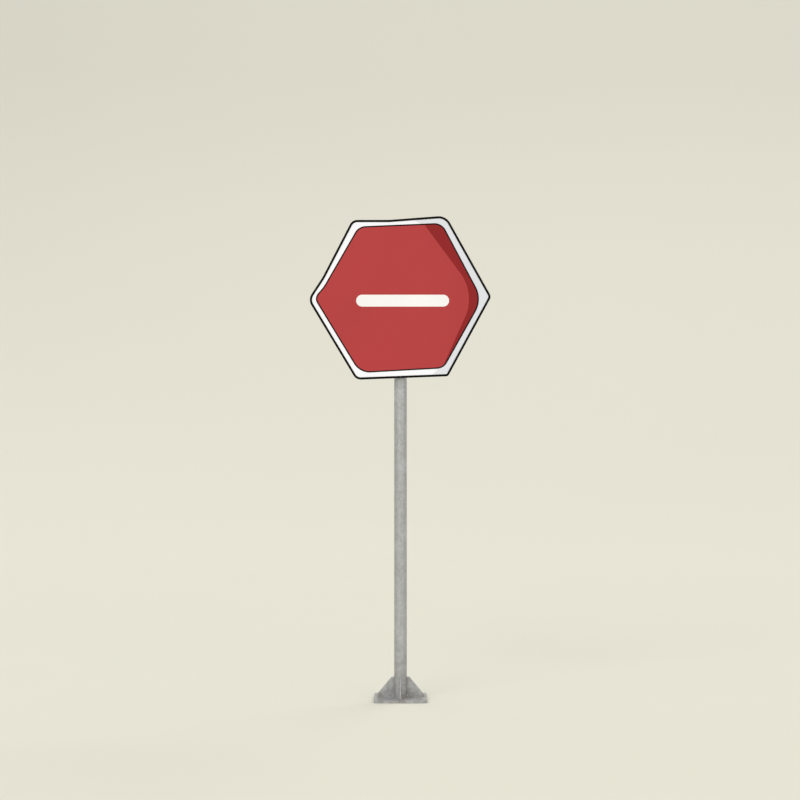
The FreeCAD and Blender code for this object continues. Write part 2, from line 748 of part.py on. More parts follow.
def make_foot_weld():
    body = new_body("foot_weld")
    bead = new_sketch(body, "XZ_Plane", rise="base_thickness")
    add_polygon(bead, [(POST_RADIUS, "0"), (f"{POST_RADIUS} + foot_weld", "0"),
                       (POST_RADIUS, "foot_weld")])
    revolve(body, bead, "V_Axis")


def trim_to_post(body):
    """Cuts away what lies inside the post, so that the piece fits its round face."""
    post = new_sketch(body, "XY_Plane", POST_TOP)
    add_circle(post, POST_RADIUS)
    return pocket(body, post, POST_TOP)


def make_gussets():
    body = new_body("base_gussets")
    side = new_sketch(body, "XZ_Plane", rise="base_thickness")
    start = f"{POST_RADIUS} - gusset_weld"
    add_polygon(side, [
        (start, "gusset_snipe + gusset_weld"), (f"{POST_RADIUS} + gusset_snipe", "0"),
        (GUSSET_REACH, "0"), (GUSSET_REACH, "gusset_tip"),
        (f"{POST_RADIUS} + gusset_tip", "gusset_height"), (start, "gusset_height")])
    pad(body, side, "gusset_thickness", symmetric=True)
    trim_to_post(body)
    repeat_round(body, 4)


def make_gusset_welds():
    body = new_body("gusset_welds")
    flank = "gusset_thickness / 2"
    upright = new_sketch(body, "XY_Plane", "base_thickness + gusset_snipe + gusset_weld")
    for side in ("-", ""):
        add_polygon(upright, [
            (f"{POST_RADIUS} - gusset_weld", f"{side}{flank}"),
            (f"{POST_RADIUS} + gusset_weld", f"{side}{flank}"),
            (f"{POST_RADIUS} - gusset_weld", f"{side}({flank} + 2 * gusset_weld)")])
    upright_beads = pad(body, upright, "gusset_height - gusset_snipe - 2 * gusset_weld")
    hollow = trim_to_post(body)
    flat = new_sketch(body, "YZ_Plane", f"{POST_RADIUS} + gusset_snipe", rise="base_thickness")
    for side in ("-", ""):
        add_polygon(flat, [(f"{side}{flank}", "0"), (f"{side}({flank} + gusset_weld)", "0"),
                           (f"{side}{flank}", "gusset_weld")])
    flat_beads = pad(body, flat, f"{GUSSET_REACH} - {POST_RADIUS} - gusset_snipe")
    repeat_round(body, 4, upright_beads, hollow, flat_beads)


for make in (make_sign_plate, make_edge_trim, make_films, make_rear_label, make_rails, make_rivets,
             make_rail_end_caps, make_clamp_straps, make_clamp_bolts, make_clamp_washers,
             make_clamp_nuts, make_post_tube, make_post_cap, make_base_plate, make_foot_weld,
             make_gussets, make_gusset_welds):
    make()
doc.removeObject(working_sheet.Name)
doc.recompute()

# Each piece to export, with the number of separate solids it has to have.
PIECES = {
    "sign_plate": 1, "edge_trim": 1, "border_film_white": 1, "keyline_film": 1, "field_film_red": 1,
    "border_shade_film": 1, "field_shade_film": 1, "legend_bar": 1, "rear_label": 1,
    "post_tube": 1, "post_cap": 1, "base_plate": 1, "foot_weld": 1,
    "base_gussets": 4, "gusset_welds": 16,
}
for level in ("upper", "lower"):
    PIECES[f"{level}_rail"] = 1
    PIECES[f"{level}_rail_rivets"] = 2 * RIVETS_PER_ROW
    PIECES[f"{level}_rail_end_caps"] = 2
    PIECES[f"{level}_clamp_strap"] = 1
    for fastener in ("bolts", "washers", "nuts"):
        PIECES[f"{level}_clamp_{fastener}"] = 2

for item in doc.Objects:
    if {"Invalid", "Error"} & set(item.State):
        raise RuntimeError(f"{item.Label} failed: {item.State}")
    if item.TypeId == "Sketcher::SketchObject" and not item.FullyConstrained:
        raise RuntimeError(f"{item.Label} is not fully constrained")

os.makedirs("parts", exist_ok=True)
for label, count in PIECES.items():
    shape = doc.getObjectsByLabel(label)[0].Shape
    if shape.isNull() or not shape.isValid() or len(shape.Solids) != count:
        raise RuntimeError(f"{label} is not sound: {len(shape.Solids)} solids, not {count}")
for label in PIECES:
    doc.getObjectsByLabel(label)[0].Shape.exportStep(f"parts/{label}.step")
print(f"{len(PIECES)} pieces written")
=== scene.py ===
import json
import math

import bmesh
import bpy
from mathutils import Matrix, Vector, noise


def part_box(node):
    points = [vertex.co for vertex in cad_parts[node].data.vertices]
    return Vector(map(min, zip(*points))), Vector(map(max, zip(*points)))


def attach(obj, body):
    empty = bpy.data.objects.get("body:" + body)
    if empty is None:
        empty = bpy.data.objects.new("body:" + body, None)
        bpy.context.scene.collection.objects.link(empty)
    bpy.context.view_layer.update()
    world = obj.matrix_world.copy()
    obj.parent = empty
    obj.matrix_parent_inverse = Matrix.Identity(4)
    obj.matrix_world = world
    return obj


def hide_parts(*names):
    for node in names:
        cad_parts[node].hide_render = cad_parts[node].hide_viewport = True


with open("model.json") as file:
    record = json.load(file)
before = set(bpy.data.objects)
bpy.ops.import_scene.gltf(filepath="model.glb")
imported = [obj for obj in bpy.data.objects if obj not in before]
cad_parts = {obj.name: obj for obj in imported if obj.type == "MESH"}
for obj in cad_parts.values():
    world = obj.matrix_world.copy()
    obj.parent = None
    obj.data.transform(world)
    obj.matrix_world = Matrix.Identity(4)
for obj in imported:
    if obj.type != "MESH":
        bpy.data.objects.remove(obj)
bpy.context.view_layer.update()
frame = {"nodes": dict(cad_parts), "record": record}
nodes = frame["nodes"]
scene = bpy.context.scene
post, signHead = "post", "sign_head"
tiny = 1e-6  # metres: points closer than this are one

# Places that several pieces share, in metres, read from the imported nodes.
tubeLow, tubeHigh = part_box("post_tube")
tubeRadius = (tubeHigh.x - tubeLow.x) / 2
plateLow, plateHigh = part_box("sign_plate")
headMiddle = (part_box("upper_rail")[0].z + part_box("lower_rail")[1].z) / 2
print("frame loaded:", len(nodes), "nodes")


# Helpers for shader nodes. An input is another node's output or a plain value.

def addNode(tree, kind, inputs=(), **settings):
    node = tree.nodes.new(kind)
    for name, value in settings.items():
        setattr(node, name, value)
    for name, value in dict(inputs).items():
        if isinstance(value, bpy.types.NodeSocket):
            tree.links.new(value, node.inputs[name])
        else:
            node.inputs[name].default_value = value
    return node


def newFinish(name, plain):
    # A plain roughness or metal counts wherever the nodes that drive it can't be used.
    finish = bpy.data.materials.new(name)
    finish.use_nodes = True
    shader = finish.node_tree.nodes["Principled BSDF"]
    for socketName, value in plain.items():
        shader.inputs[socketName].default_value = value
    return finish, finish.node_tree, shader


def objectPlace(tree, stretch=(1, 1, 1), turn=(0, 0, 0)):
    where = addNode(tree, "ShaderNodeTexCoord").outputs["Object"]
    mapping = addNode(tree, "ShaderNodeMapping", {"Vector": where, "Scale": stretch, "Rotation": turn})
    return mapping.outputs["Vector"]


def noiseAt(tree, where, scale, detail, rough=0.55):
    settings = {"Vector": where, "Scale": scale, "Detail": detail, "Roughness": rough}
    return addNode(tree, "ShaderNodeTexNoise", settings).outputs["Fac"]


def doMath(tree, operation, first, second=0.0, clamp=False):
    inputs = {0: first, 1: second}
    return addNode(tree, "ShaderNodeMath", inputs, operation=operation, use_clamp=clamp).outputs[0]


def vectorMath(tree, operation, *inputs, output=0):
    node = addNode(tree, "ShaderNodeVectorMath", dict(enumerate(inputs)), operation=operation)
    return node.outputs[output]


def spread(tree, value, before, after):
    # Maps the range before onto the range after, and holds it at the ends.
    inputs = {"Value": value, "From Min": before[0], "From Max": before[1],
              "To Min": after[0], "To Max": after[1]}
    return addNode(tree, "ShaderNodeMapRange", inputs).outputs["Result"]


def mixColours(tree, factor, *colours):
    # The sockets 6 and 7 are the node's two colours, and 2 is its mixed one.
    first, second = [colour if isinstance(colour, bpy.types.NodeSocket) else (*colour, 1)
                     for colour in colours]
    node = addNode(tree, "ShaderNodeMix", {0: factor, 6: first, 7: second}, data_type="RGBA")
    return node.outputs[2]


def mixVectors(tree, factor, first, second):
    # The sockets 4 and 5 are the node's two vectors, and 1 is its mixed one.
    node = addNode(tree, "ShaderNodeMix", {0: factor, 4: first, 5: second}, data_type="VECTOR")
    return node.outputs[1]


def toned(tone, tint):
    return tuple(tone * part for part in tint)


def separate(tree, where):
    return addNode(tree, "ShaderNodeSeparateXYZ", {0: where}).outputs


def feed(tree, value, shader, socketName):
    tree.links.new(value, shader.inputs[socketName])


def addBump(tree, shader, height, distance, strength):
    inputs = {"Height": height, "Distance": distance, "Strength": strength}
    bump = addNode(tree, "ShaderNodeBump", inputs)
    if shader.inputs["Normal"].is_linked:
        tree.links.new(shader.inputs["Normal"].links[0].from_socket, bump.inputs["Normal"])
    feed(tree, bump.outputs["Normal"], shader, "Normal")


def addWaves(tree, shader, where, look):
    addBump(tree, shader, noiseAt(tree, where, *look["waves"]), *look["waveBump"])


def hexCells(tree, where, size):
    # How far a point is from its honeycomb cell's middle, 0.5 being the wall. The middles lie on two
    # grids of oblongs, and the nearer one counts.
    half = (0.5, 0.5, math.sqrt(3) / 2)
    sized = addNode(tree, "ShaderNodeVectorMath", {0: where, "Scale": 1 / size}, operation="SCALE")
    lengths, folded = [], []
    for shift in ((0, 0, 0), half):
        moved = vectorMath(tree, "ADD", sized.outputs[0], shift)
        wrapped = vectorMath(tree, "WRAP", moved, half, toned(-1, half))
        flat = vectorMath(tree, "MULTIPLY", wrapped, (1, 0, 1))
        lengths.append(vectorMath(tree, "LENGTH", flat, output="Value"))
        folded.append(vectorMath(tree, "ABSOLUTE", flat))
    nearest = mixVectors(tree, doMath(tree, "LESS_THAN", *lengths), folded[1], folded[0])
    slant = vectorMath(tree, "DOT_PRODUCT", nearest, (0.5, 0, math.sqrt(3) / 2), output="Value")
    return doMath(tree, "MAXIMUM", separate(tree, nearest)["X"], slant)


# Finishes. In their settings colours are linear, a noise is its scale per metre, its detail and its
# roughness, a patch is the noise values between which it fades in, and a bump is metres and strength.
full = (0.0, 1.0)
midNoise = (0.3, 0.7)  # holds nearly all of a noise's values

sheeting = {
    "cellSize": 0.0042,
    "cellWall": (0.43, 0.47),  # where a wall fades in, from its cell's middle
    "wallShow": 0.22,
    "wallBump": (0.00006, 0.35),
    "beads": (2600, 1.0),
    "beadShow": (0.0, 0.10),
    "drift": (2.3, 2.0),
    "driftPatch": (0.35, 0.65),
    "driftShades": (0.965, 1.03),
    "wear": (14, 6.0, 0.65),
    "wearPatch": (0.3, 0.75),
    "wearRoughness": (0.35, 0.51),
    "waves": (6, 1.0),
    "waveBump": (0.0008, 0.25),
    "plain": {"Roughness": 0.42, "Specular IOR Level": 0.2, "Coat Weight": 0.12, "Coat Roughness": 0.22},
}


def sheetingFinish(name, colour, wallTint):
    # Retroreflective sheeting: sealed honeycomb cells of glass beads under a clear top film.
    finish, tree, shader = newFinish(name, sheeting["plain"])
    where = objectPlace(tree)
    wall = spread(tree, hexCells(tree, where, sheeting["cellSize"]), sheeting["cellWall"], full)
    shades = [[min(1.0, part) for part in toned(tone, colour)] for tone in sheeting["driftShades"]]
    drift = spread(tree, noiseAt(tree, where, *sheeting["drift"]), sheeting["driftPatch"], full)
    beads = spread(tree, noiseAt(tree, where, *sheeting["beads"]), midNoise, sheeting["beadShow"])
    speckled = mixColours(tree, beads, mixColours(tree, drift, *shades), wallTint)
    wallShare = doMath(tree, "MULTIPLY", wall, sheeting["wallShow"])
    feed(tree, mixColours(tree, wallShare, speckled, wallTint), shader, "Base Color")
    wear = noiseAt(tree, where, *sheeting["wear"])
    rough = spread(tree, wear, sheeting["wearPatch"], sheeting["wearRoughness"])
    feed(tree, rough, shader, "Roughness")
    addBump(tree, shader, wall, *sheeting["wallBump"])
    addWaves(tree, shader, where, sheeting)
    return finish


ink = {
    "colours": ((0.00558, 0.00465, 0.00372), (0.006, 0.005, 0.004)),
    "drift": (40, 5.0),
    "driftRoughness": (0.45, 0.58),
    "waves": (1800, 1.0),  # the screen's mesh
    "waveBump": (0.00003, 0.3),
    "plain": {"Roughness": 0.5, "Specular IOR Level": 0.06},
}


def inkFinish(name):
    # Screen-printed ink: even, with a faint mesh and slightly uneven gloss.
    finish, tree, shader = newFinish(name, ink["plain"])
    where = objectPlace(tree)
    drift = noiseAt(tree, where, *ink["drift"])
    feed(tree, mixColours(tree, drift, *ink["colours"]), shader, "Base Color")
    feed(tree, spread(tree, drift, midNoise, ink["driftRoughness"]), shader, "Roughness")
    addWaves(tree, shader, where, ink)
    return finish


rubber = {
    "colours": ((0.003, 0.0027, 0.0022), (0.007, 0.0062, 0.005)),
    "paleColour": (0.018, 0.017, 0.015),  # dust
    "pale": (9, 6.0, 0.7),
    "palePatch": (0.55, 0.8),
    "paleShow": (0.0, 0.3),
    "grain": (1500, 2.0),
    "grainRoughness": (0.5, 0.72),
    "grainBump": (0.00012, 0.4),
    "plain": {"Roughness": 0.62, "Specular IOR Level": 0.07},
}
plastic = {
    "colours": ((0.016, 0.016, 0.017), (0.016, 0.016, 0.017)),
    "paleColour": (0.045, 0.045, 0.047),  # bleached by the sun
    "pale": (22, 5.0),
    "palePatch": (0.45, 0.8),
    "paleShow": (0.0, 0.5),
    "grain": (900, 2.0),
    "grainRoughness": (0.4, 0.6),
    "grainBump": (0.0001, 0.35),
    "plain": {"Roughness": 0.48, "Specular IOR Level": 0.4},
}


def mouldedFinish(name, look):
    # Black rubber or plastic with a fine grain and paler patches.
    finish, tree, shader = newFinish(name, look["plain"])
    where = objectPlace(tree)
    grain = noiseAt(tree, where, *look["grain"])
    pale = spread(tree, noiseAt(tree, where, *look["pale"]), look["palePatch"], look["paleShow"])
    black = mixColours(tree, grain, *look["colours"])
    feed(tree, mixColours(tree, pale, black, look["paleColour"]), shader, "Base Color")
    feed(tree, spread(tree, grain, midNoise, look["grainRoughness"]), shader, "Roughness")
    addBump(tree, shader, grain, *look["grainBump"])
    return finish


mill = {
    # the first three are multiplied by the finish's tone
    "bright": (1.0, 1.005, 1.015),
    "oxide": (0.80, 0.81, 0.83),
    "streakColour": (0.70, 0.70, 0.69),
    "lineColour": (0.34, 0.34, 0.35),
    "lineScales": (8, 700),  # along the grain and across it
    "lines": (1.0, 3.0, 0.7),
    "lineShow": (0.0, 0.25),
    "lineRoughness": (-0.05, 0.05),
    "lineBump": (0.00005, 0.5),
    "bloom": (7, 7.0, 0.62),
    "bloomPatch": (0.4, 0.75),
    "bloomRoughness": (-0.06, 0.12),
    "bloomMetallic": (0.95, 0.72),
    "streakScales": (34, 34, 2.2),
    "streaks": (1.0, 5.0),
    "streakPatch": (0.5, 0.75),
    "streakShow": (0.0, 0.55),
    "waves": (3, 1.0),
    "waveBump": (0.0012, 0.2),
    "metallic": 0.9,
}


def millFinish(name, tone, along, roughness):
    # Rolled or extruded aluminium: fine lines along the grain, a dull oxide bloom, dull streaks down.
    finish, tree, shader = newFinish(name, {"Roughness": roughness, "Metallic": mill["metallic"]})
    where = objectPlace(tree)
    stretch = [mill["lineScales"][axis != along] for axis in "XYZ"]
    lines = noiseAt(tree, objectPlace(tree, stretch), *mill["lines"])
    bloom = spread(tree, noiseAt(tree, where, *mill["bloom"]), mill["bloomPatch"], full)
    streaks = noiseAt(tree, objectPlace(tree, mill["streakScales"]), *mill["streaks"])
    dull = spread(tree, streaks, mill["streakPatch"], mill["streakShow"])
    base = mixColours(tree, bloom, toned(tone, mill["bright"]), toned(tone, mill["oxide"]))
    base = mixColours(tree, dull, base, toned(tone, mill["streakColour"]))
    lined = spread(tree, lines, midNoise, mill["lineShow"])
    feed(tree, mixColours(tree, lined, base, mill["lineColour"]), shader, "Base Color")
    bloomRough = spread(tree, bloom, full, [roughness + more for more in mill["bloomRoughness"]])
    lineRough = spread(tree, lines, midNoise, mill["lineRoughness"])
    feed(tree, doMath(tree, "ADD", bloomRough, lineRough), shader, "Roughness")
    feed(tree, spread(tree, bloom, full, mill["bloomMetallic"]), shader, "Metallic")
    addBump(tree, shader, lines, *mill["lineBump"])
    addWaves(tree, shader, where, mill)
    return finish


zinc = {
    # the first two are multiplied by the finish's tone
    "darkCrystal": (0.80, 0.82, 0.85),
    "paleCrystal": (1.10, 1.12, 1.15),
    "crystals": ((95.0, 0.65), (210.0, 0.35)),  # how many per metre, and their share
    "warp": (90.0, 2.0, 0.5),
    "warpShare": 0.012,
    "crystalRoughness": (0.36, 0.56),
    "crystalBump": (0.00008, 0.35),
    "bloomColour": (0.60, 0.61, 0.61),
    "bloom": (11, 7.0, 0.66),
    "bloomPatch": (0.52, 0.74),
    "bloomShow": (0.0, 0.6),
    "soilColour": (0.20, 0.17, 0.13),
    "soilHeight": (0.0, 0.32),
    "soil": (28, 8.0, 0.7),
    "soilPatch": (0.42, 0.66),
    "soilShow": (0.0, 0.75),
    "soilRoughness": 0.3,
    "coverMetallic": (0.78, 0.15),  # clean, and under bloom or soil
    "waves": (55, 3.0),
    "waveBump": (0.0005, 0.25),
    "plain": {"Roughness": 0.5, "Metallic": 0.72},
}


def galvanisedFinish(name, tone):
    # Hot-dip zinc: crystals in two sizes, white bloom, and soil splashed up from the ground.
    finish, tree, shader = newFinish(name, zinc["plain"])
    where = objectPlace(tree)
    warp = noiseAt(tree, where, *zinc["warp"]).node.outputs["Color"]
    bent = mixVectors(tree, zinc["warpShare"], where, warp)
    crystals = []
    for scale, share in zinc["crystals"]:
        cells = addNode(tree, "ShaderNodeTexVoronoi", {"Vector": bent, "Scale": scale})
        parts = addNode(tree, "ShaderNodeSeparateColor", {"Color": cells.outputs["Color"]})
        crystals.append(doMath(tree, "MULTIPLY", parts.outputs["Red"], share))
    spangle = doMath(tree, "ADD", *crystals)
    base = mixColours(tree, spangle, toned(tone, zinc["darkCrystal"]), toned(tone, zinc["paleCrystal"]))
    white = spread(tree, noiseAt(tree, where, *zinc["bloom"]), zinc["bloomPatch"], zinc["bloomShow"])
    base = mixColours(tree, white, base, zinc["bloomColour"])
    nearGround = spread(tree, separate(tree, where)["Z"], zinc["soilHeight"], (1.0, 0.0))
    soil = spread(tree, noiseAt(tree, where, *zinc["soil"]), zinc["soilPatch"], zinc["soilShow"])
    splash = doMath(tree, "MULTIPLY", nearGround, soil, clamp=True)
    feed(tree, mixColours(tree, splash, base, zinc["soilColour"]), shader, "Base Color")
    rough = spread(tree, spangle, full, zinc["crystalRoughness"])
    soilRough = doMath(tree, "MULTIPLY", splash, zinc["soilRoughness"])
    feed(tree, doMath(tree, "ADD", rough, soilRough), shader, "Roughness")
    covered = doMath(tree, "MAXIMUM", white, splash)
    feed(tree, spread(tree, covered, full, zinc["coverMetallic"]), shader, "Metallic")
    addBump(tree, shader, spangle, *zinc["crystalBump"])
    addWaves(tree, shader, where, zinc)
    return finish


plating = {
    "colours": ((0.58, 0.60, 0.64), (0.46, 0.45, 0.42)),
    "stain": (160, 6.0, 0.6),
    "stainPatch": (0.35, 0.7),
    "stainRoughness": (0.22, 0.44),
    "waves": (1200, 2.0),
    "waveBump": (0.00004, 0.4),
    "plain": {"Roughness": 0.3, "Metallic": 0.95},
}


def platedFinish(name):
    # Thin bright zinc on small fasteners, stained in places.
    finish, tree, shader = newFinish(name, plating["plain"])
    where = objectPlace(tree)
    stain = noiseAt(tree, where, *plating["stain"])
    stained = spread(tree, stain, plating["stainPatch"], full)
    feed(tree, mixColours(tree, stained, *plating["colours"]), shader, "Base Color")
    feed(tree, spread(tree, stain, midNoise, plating["stainRoughness"]), shader, "Roughness")
    addWaves(tree, shader, where, plating)
    return finish


foil = {
    "colours": ((0.66, 0.67, 0.69), (0.50, 0.51, 0.53)),
    "frameColour": (0.03, 0.03, 0.035),
    "frameInset": 0.0045,
    "frameHalf": 0.0005,
    "scuffScales": (30, 30, 90),
    "scuffTurn": (0, 0.5, 0),
    "scuffs": (1.0, 6.0),
    "scuffPatch": (0.4, 0.7),
    "scuffRoughness": (0.28, 0.5),
    "waves": (60, 3.0),
    "waveBump": (0.0002, 0.3),
    "plain": {"Roughness": 0.34, "Metallic": 0.4},
}


def labelFinish(name, label):
    # Blank foil with one printed frame line, set in from its edge.
    low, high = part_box(label)
    middle, half = (low + high) / 2, (high - low) / 2
    finish, tree, shader = newFinish(name, foil["plain"])
    where = objectPlace(tree)
    gaps = []
    for axis, centre, reach in (("X", middle.x, half.x), ("Z", middle.z, half.z)):
        fromMiddle = doMath(tree, "SUBTRACT", separate(tree, where)[axis], centre)
        gaps.append(doMath(tree, "SUBTRACT", reach, doMath(tree, "ABSOLUTE", fromMiddle)))
    line = doMath(tree, "COMPARE", doMath(tree, "MINIMUM", *gaps), foil["frameInset"])
    line.node.inputs[2].default_value = foil["frameHalf"]
    scuffs = noiseAt(tree, objectPlace(tree, foil["scuffScales"], foil["scuffTurn"]), *foil["scuffs"])
    base = mixColours(tree, spread(tree, scuffs, foil["scuffPatch"], full), *foil["colours"])
    feed(tree, mixColours(tree, line, base, foil["frameColour"]), shader, "Base Color")
    feed(tree, spread(tree, scuffs, midNoise, foil["scuffRoughness"]), shader, "Roughness")
    addWaves(tree, shader, where, foil)
    return finish


films = {
    # each film's colour and the tint of its cells' walls
    "red": ((0.470, 0.046, 0.045), (0.40, 0.035, 0.035)),
    # painted shade: this darker red stands for the shade on the right of the red field, not a colour the
    # sign has
    "darkRed": ((0.288, 0.010, 0.0108), (0.22, 0.012, 0.012)),
    "white": ((0.972, 0.975, 0.985), (0.86, 0.86, 0.86)),
    # painted shade: this grey stands for the shade on the right of the white border, not a colour the
    # sign has
    "grey": ((0.794, 0.803, 0.818), (0.61, 0.62, 0.635)),
    "legend": ((0.965, 0.945, 0.89), (0.82, 0.81, 0.77)),
}
finishes = {
    "red_sheeting": sheetingFinish("redSheeting", *films["red"]),
    # painted shade: the dark red film is shade painted over the right side of the red field
    "dark_red_film": sheetingFinish("paintedShadeRed", *films["darkRed"]),
    "white_sheeting": sheetingFinish("whiteSheeting", *films["white"]),
    # painted shade: the grey film is shade painted over the right side of the white border
    "grey_film": sheetingFinish("paintedShadeGrey", *films["grey"]),
    "black_film": inkFinish("blackInk"),
    "black_rubber": mouldedFinish("trimRubber", rubber),
    "black_plastic": mouldedFinish("mouldedPlastic", plastic),
    "aluminium_sheet": millFinish("rolledAluminium", tone=0.66, along="X", roughness=0.36),
    "aluminium_rail": millFinish("extrudedAluminium", tone=0.60, along="X", roughness=0.3),
    "rivet_aluminium": millFinish("rivetAluminium", tone=0.72, along="Z", roughness=0.28),
    "galvanised_steel": galvanisedFinish("galvanisedZinc", tone=0.46),
    "galvanised_weld": galvanisedFinish("galvanisedWeld", tone=0.40),
    "zinc_plated_steel": platedFinish("platedZinc"),
    "label_foil": labelFinish("labelFoil", "rear_label"),
}
legendFinish = sheetingFinish("legendSheeting", *films["legend"])
print("finishes made:", len(finishes) + 1)

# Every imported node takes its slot's finish, so that one which stays shown is never bare.
slotOfNode = {part["node"]: part["material_slot"] for part in frame["record"]["subparts"]}
for nodeName, nodeObject in nodes.items():
    nodeObject.data.materials.clear()
    nodeObject.data.materials.append(finishes[slotOfNode[nodeName]])
nodes["legend_bar"].data.materials[0] = legendFinish


# Helpers for meshes.

def growFace(bm, face, change):
    # Pulls a new end face out of this one and moves it.
    made = bmesh.ops.extrude_face_region(bm, geom=[face, *face.edges, *face.verts])["geom"]
    verts = [part for part in made if isinstance(part, bmesh.types.BMVert)]
    bmesh.ops.transform(bm, matrix=change, verts=verts)
    return next(part for part in made if isinstance(part, bmesh.types.BMFace))


def moveBy(x=0.0, y=0.0, z=0.0):
    return Matrix.Translation((x, y, z))


def turnAbout(x, y, angle):
    # A turn about an upright line.
    return moveBy(x, y) @ Matrix.Rotation(angle, 4, "Z") @ moveBy(-x, -y)


facingBack = Matrix.Rotation(-math.pi / 2, 4, "X")  # turns local Z towards +Y


def addPolygon(bm, corners):
    return bm.faces.new([bm.verts.new(corner) for corner in corners])


def addSpun(bm, profile, steps, closed=False):
    # Turns (radius, height) points about Z into a solid or, from a closed profile, a ring.
    points = [bm.verts.new((radius, 0, height)) for radius, height in profile]
    pairs = list(zip(points, points[1:])) + ([(points[-1], points[0])] if closed else [])
    edges = [bm.edges.new(pair) for pair in pairs]
    bmesh.ops.spin(bm, geom=points + edges, cent=(0, 0, 0), axis=(0, 0, 1), angle=math.tau,
                   steps=steps, use_merge=True)
    bmesh.ops.remove_doubles(bm, verts=bm.verts, dist=tiny)


def roundEdges(bm, offset, segments=2, wanted=None, limit=25):
    chosen = [edge for edge in bm.edges if len(edge.link_faces) == 2
              and edge.calc_face_angle() > math.radians(limit) and (wanted is None or wanted(edge))]
    bmesh.ops.bevel(bm, geom=chosen, offset=offset, offset_type="OFFSET", segments=segments,
                    profile=0.5, affect="EDGES", clamp_overlap=True, material=-1)


def addBlock(bm, low, high):
    size = [b - a for a, b in zip(low, high)]
    middle = [(a + b) / 2 for a, b in zip(low, high)]
    bmesh.ops.create_cube(bm, size=1, matrix=Matrix.LocRotScale(middle, None, size))


def asMesh(bm, name):
    bmesh.ops.recalc_face_normals(bm, faces=bm.faces)
    mesh = bpy.data.meshes.new(name)
    bm.to_mesh(mesh)
    bm.free()
    return mesh


def stamp(bm, shape, places):
    # Adds this mesh at each place, then removes it.
    for place in places:
        copy = shape.copy()
        copy.transform(place)
        bm.from_mesh(copy)
        bpy.data.meshes.remove(copy)
    bpy.data.meshes.remove(shape)


def makePiece(bm, name, body, slotName, replaced, sharpAngle=34):
    mesh = asMesh(bm, name)
    mesh.shade_smooth()
    mesh.set_sharp_from_angle(angle=math.radians(sharpAngle))
    mesh.materials.append(finishes[slotName])
    piece = bpy.data.objects.new(name, mesh)
    scene.collection.objects.link(piece)
    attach(piece, body)
    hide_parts(replaced)


def radiusOf(vert):
    return math.hypot(vert.co.x, vert.co.y)


def angleOf(vert):
    return math.atan2(vert.co.y, vert.co.x)


def evenly(low, high, count):
    return [low + (high - low) * i / (count - 1) for i in range(count)]


trim = {
    # the U section in millimetres: in from the rim, forwards from its back
    "section": [(10.5, 0.4), (10.1, 0.1), (9.0, 0.0), (1.7, 0.05), (0.8, 0.35), (0.25, 0.9),
                (0.0, 1.7), (0.0, 2.3), (0.22, 2.55), (0.0, 2.8), (0.0, 3.8), (0.22, 4.05),
                (0.0, 4.3), (0.0, 4.9), (0.25, 5.7), (0.8, 6.25), (1.7, 6.55), (9.0, 6.6),
                (10.1, 6.5), (10.5, 6.2), (10.5, 5.35), (10.2, 5.02), (2.0, 5.0), (2.0, 1.6),
                (10.2, 1.58), (10.5, 1.25)],
    "millimetre": 0.001,
    "wall": 0.002,
    "jointGap": 0.0008,
    "frontFacing": 0.99,  # least share of a front face's normal along -Y
}


def frontOutline(nodeName):
    # The node's front face as one many-sided face, facing -Y.
    bm = bmesh.new()
    bm.from_mesh(nodes[nodeName].data)
    bmesh.ops.remove_doubles(bm, verts=bm.verts, dist=tiny)
    bm.normal_update()
    hidden = [face for face in bm.faces if face.normal.y > -trim["frontFacing"]]
    bmesh.ops.delete(bm, geom=hidden, context="FACES")
    bmesh.ops.dissolve_faces(bm, faces=bm.faces)
    return bm


def insetFace(bm, face, inward, forward):
    # A new face inside this one by an even margin, moved towards -Y; a negative margin grows it.
    made = growFace(bm, face, Matrix.Identity(4))
    made.normal_update()
    corners = [vert.co.copy() for vert in made.verts]
    facing = made.normal
    for i, vert in enumerate(list(made.verts)):
        before = (corners[i] - corners[i - 1]).normalized()
        after = (corners[(i + 1) % len(corners)] - corners[i]).normalized()
        inside = [facing.cross(side) for side in (before, after)]
        middle = (inside[0] + inside[1]).normalized()
        vert.co += middle * inward / middle.dot(inside[0]) + Vector((0, -forward, 0))
    return made


def makeEdgeTrim():
    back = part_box("edge_trim")[1].y
    bm = frontOutline("border_film_white")
    first = next(iter(bm.faces))
    bmesh.ops.translate(bm, verts=bm.verts, vec=(0, back - first.calc_center_median().y, 0))
    scale = trim["millimetre"]
    section = [(inset * scale - trim["wall"], height * scale) for inset, height in trim["section"]]
    face = insetFace(bm, first, *section[0])
    bmesh.ops.delete(bm, geom=[other for other in bm.faces if other != face], context="FACES")
    for (inset, height), (nextInset, nextHeight) in zip(section, section[1:]):
        face = insetFace(bm, face, nextInset - inset, nextHeight - height)
    # all faces are quads but the section's two ends, and bridging those closes the U
    ends = [face for face in bm.faces if len(face.verts) > 4]
    rims = [edge for end in ends for edge in end.edges]
    bmesh.ops.delete(bm, geom=ends, context="FACES_ONLY")
    bmesh.ops.bridge_loops(bm, edges=list(set(rims)))
    # the butt joint, at the middle of the bottom edge
    for side in (-1, 1):
        everything = list(bm.verts) + list(bm.edges) + list(bm.faces)
        bmesh.ops.bisect_plane(bm, geom=everything, dist=tiny,
                               plane_co=(side * trim["jointGap"] / 2, 0, 0), plane_no=(1, 0, 0))
    slit = [face for face in bm.faces if abs(face.calc_center_median().x) < trim["jointGap"] / 2
            and face.calc_center_median().z < headMiddle]
    bmesh.ops.delete(bm, geom=slit, context="FACES")
    bmesh.ops.holes_fill(bm, edges=[edge for edge in bm.edges if edge.is_boundary])
    makePiece(bm, "edgeTrim", signHead, "black_rubber", "edge_trim")


makeEdgeTrim()
print("edge trim made")


rail = {
    "lip": 0.0025,
    "wall": 0.0024,
    "flange": 0.002,
    "slotHalf": 0.0045,
    "channelHalf": 0.0092,
    "grooveDepth": 0.0004,
    "grooveHalf": 0.0005,
    "edgeRound": 0.0004,
    "roundAngle": 60,
}


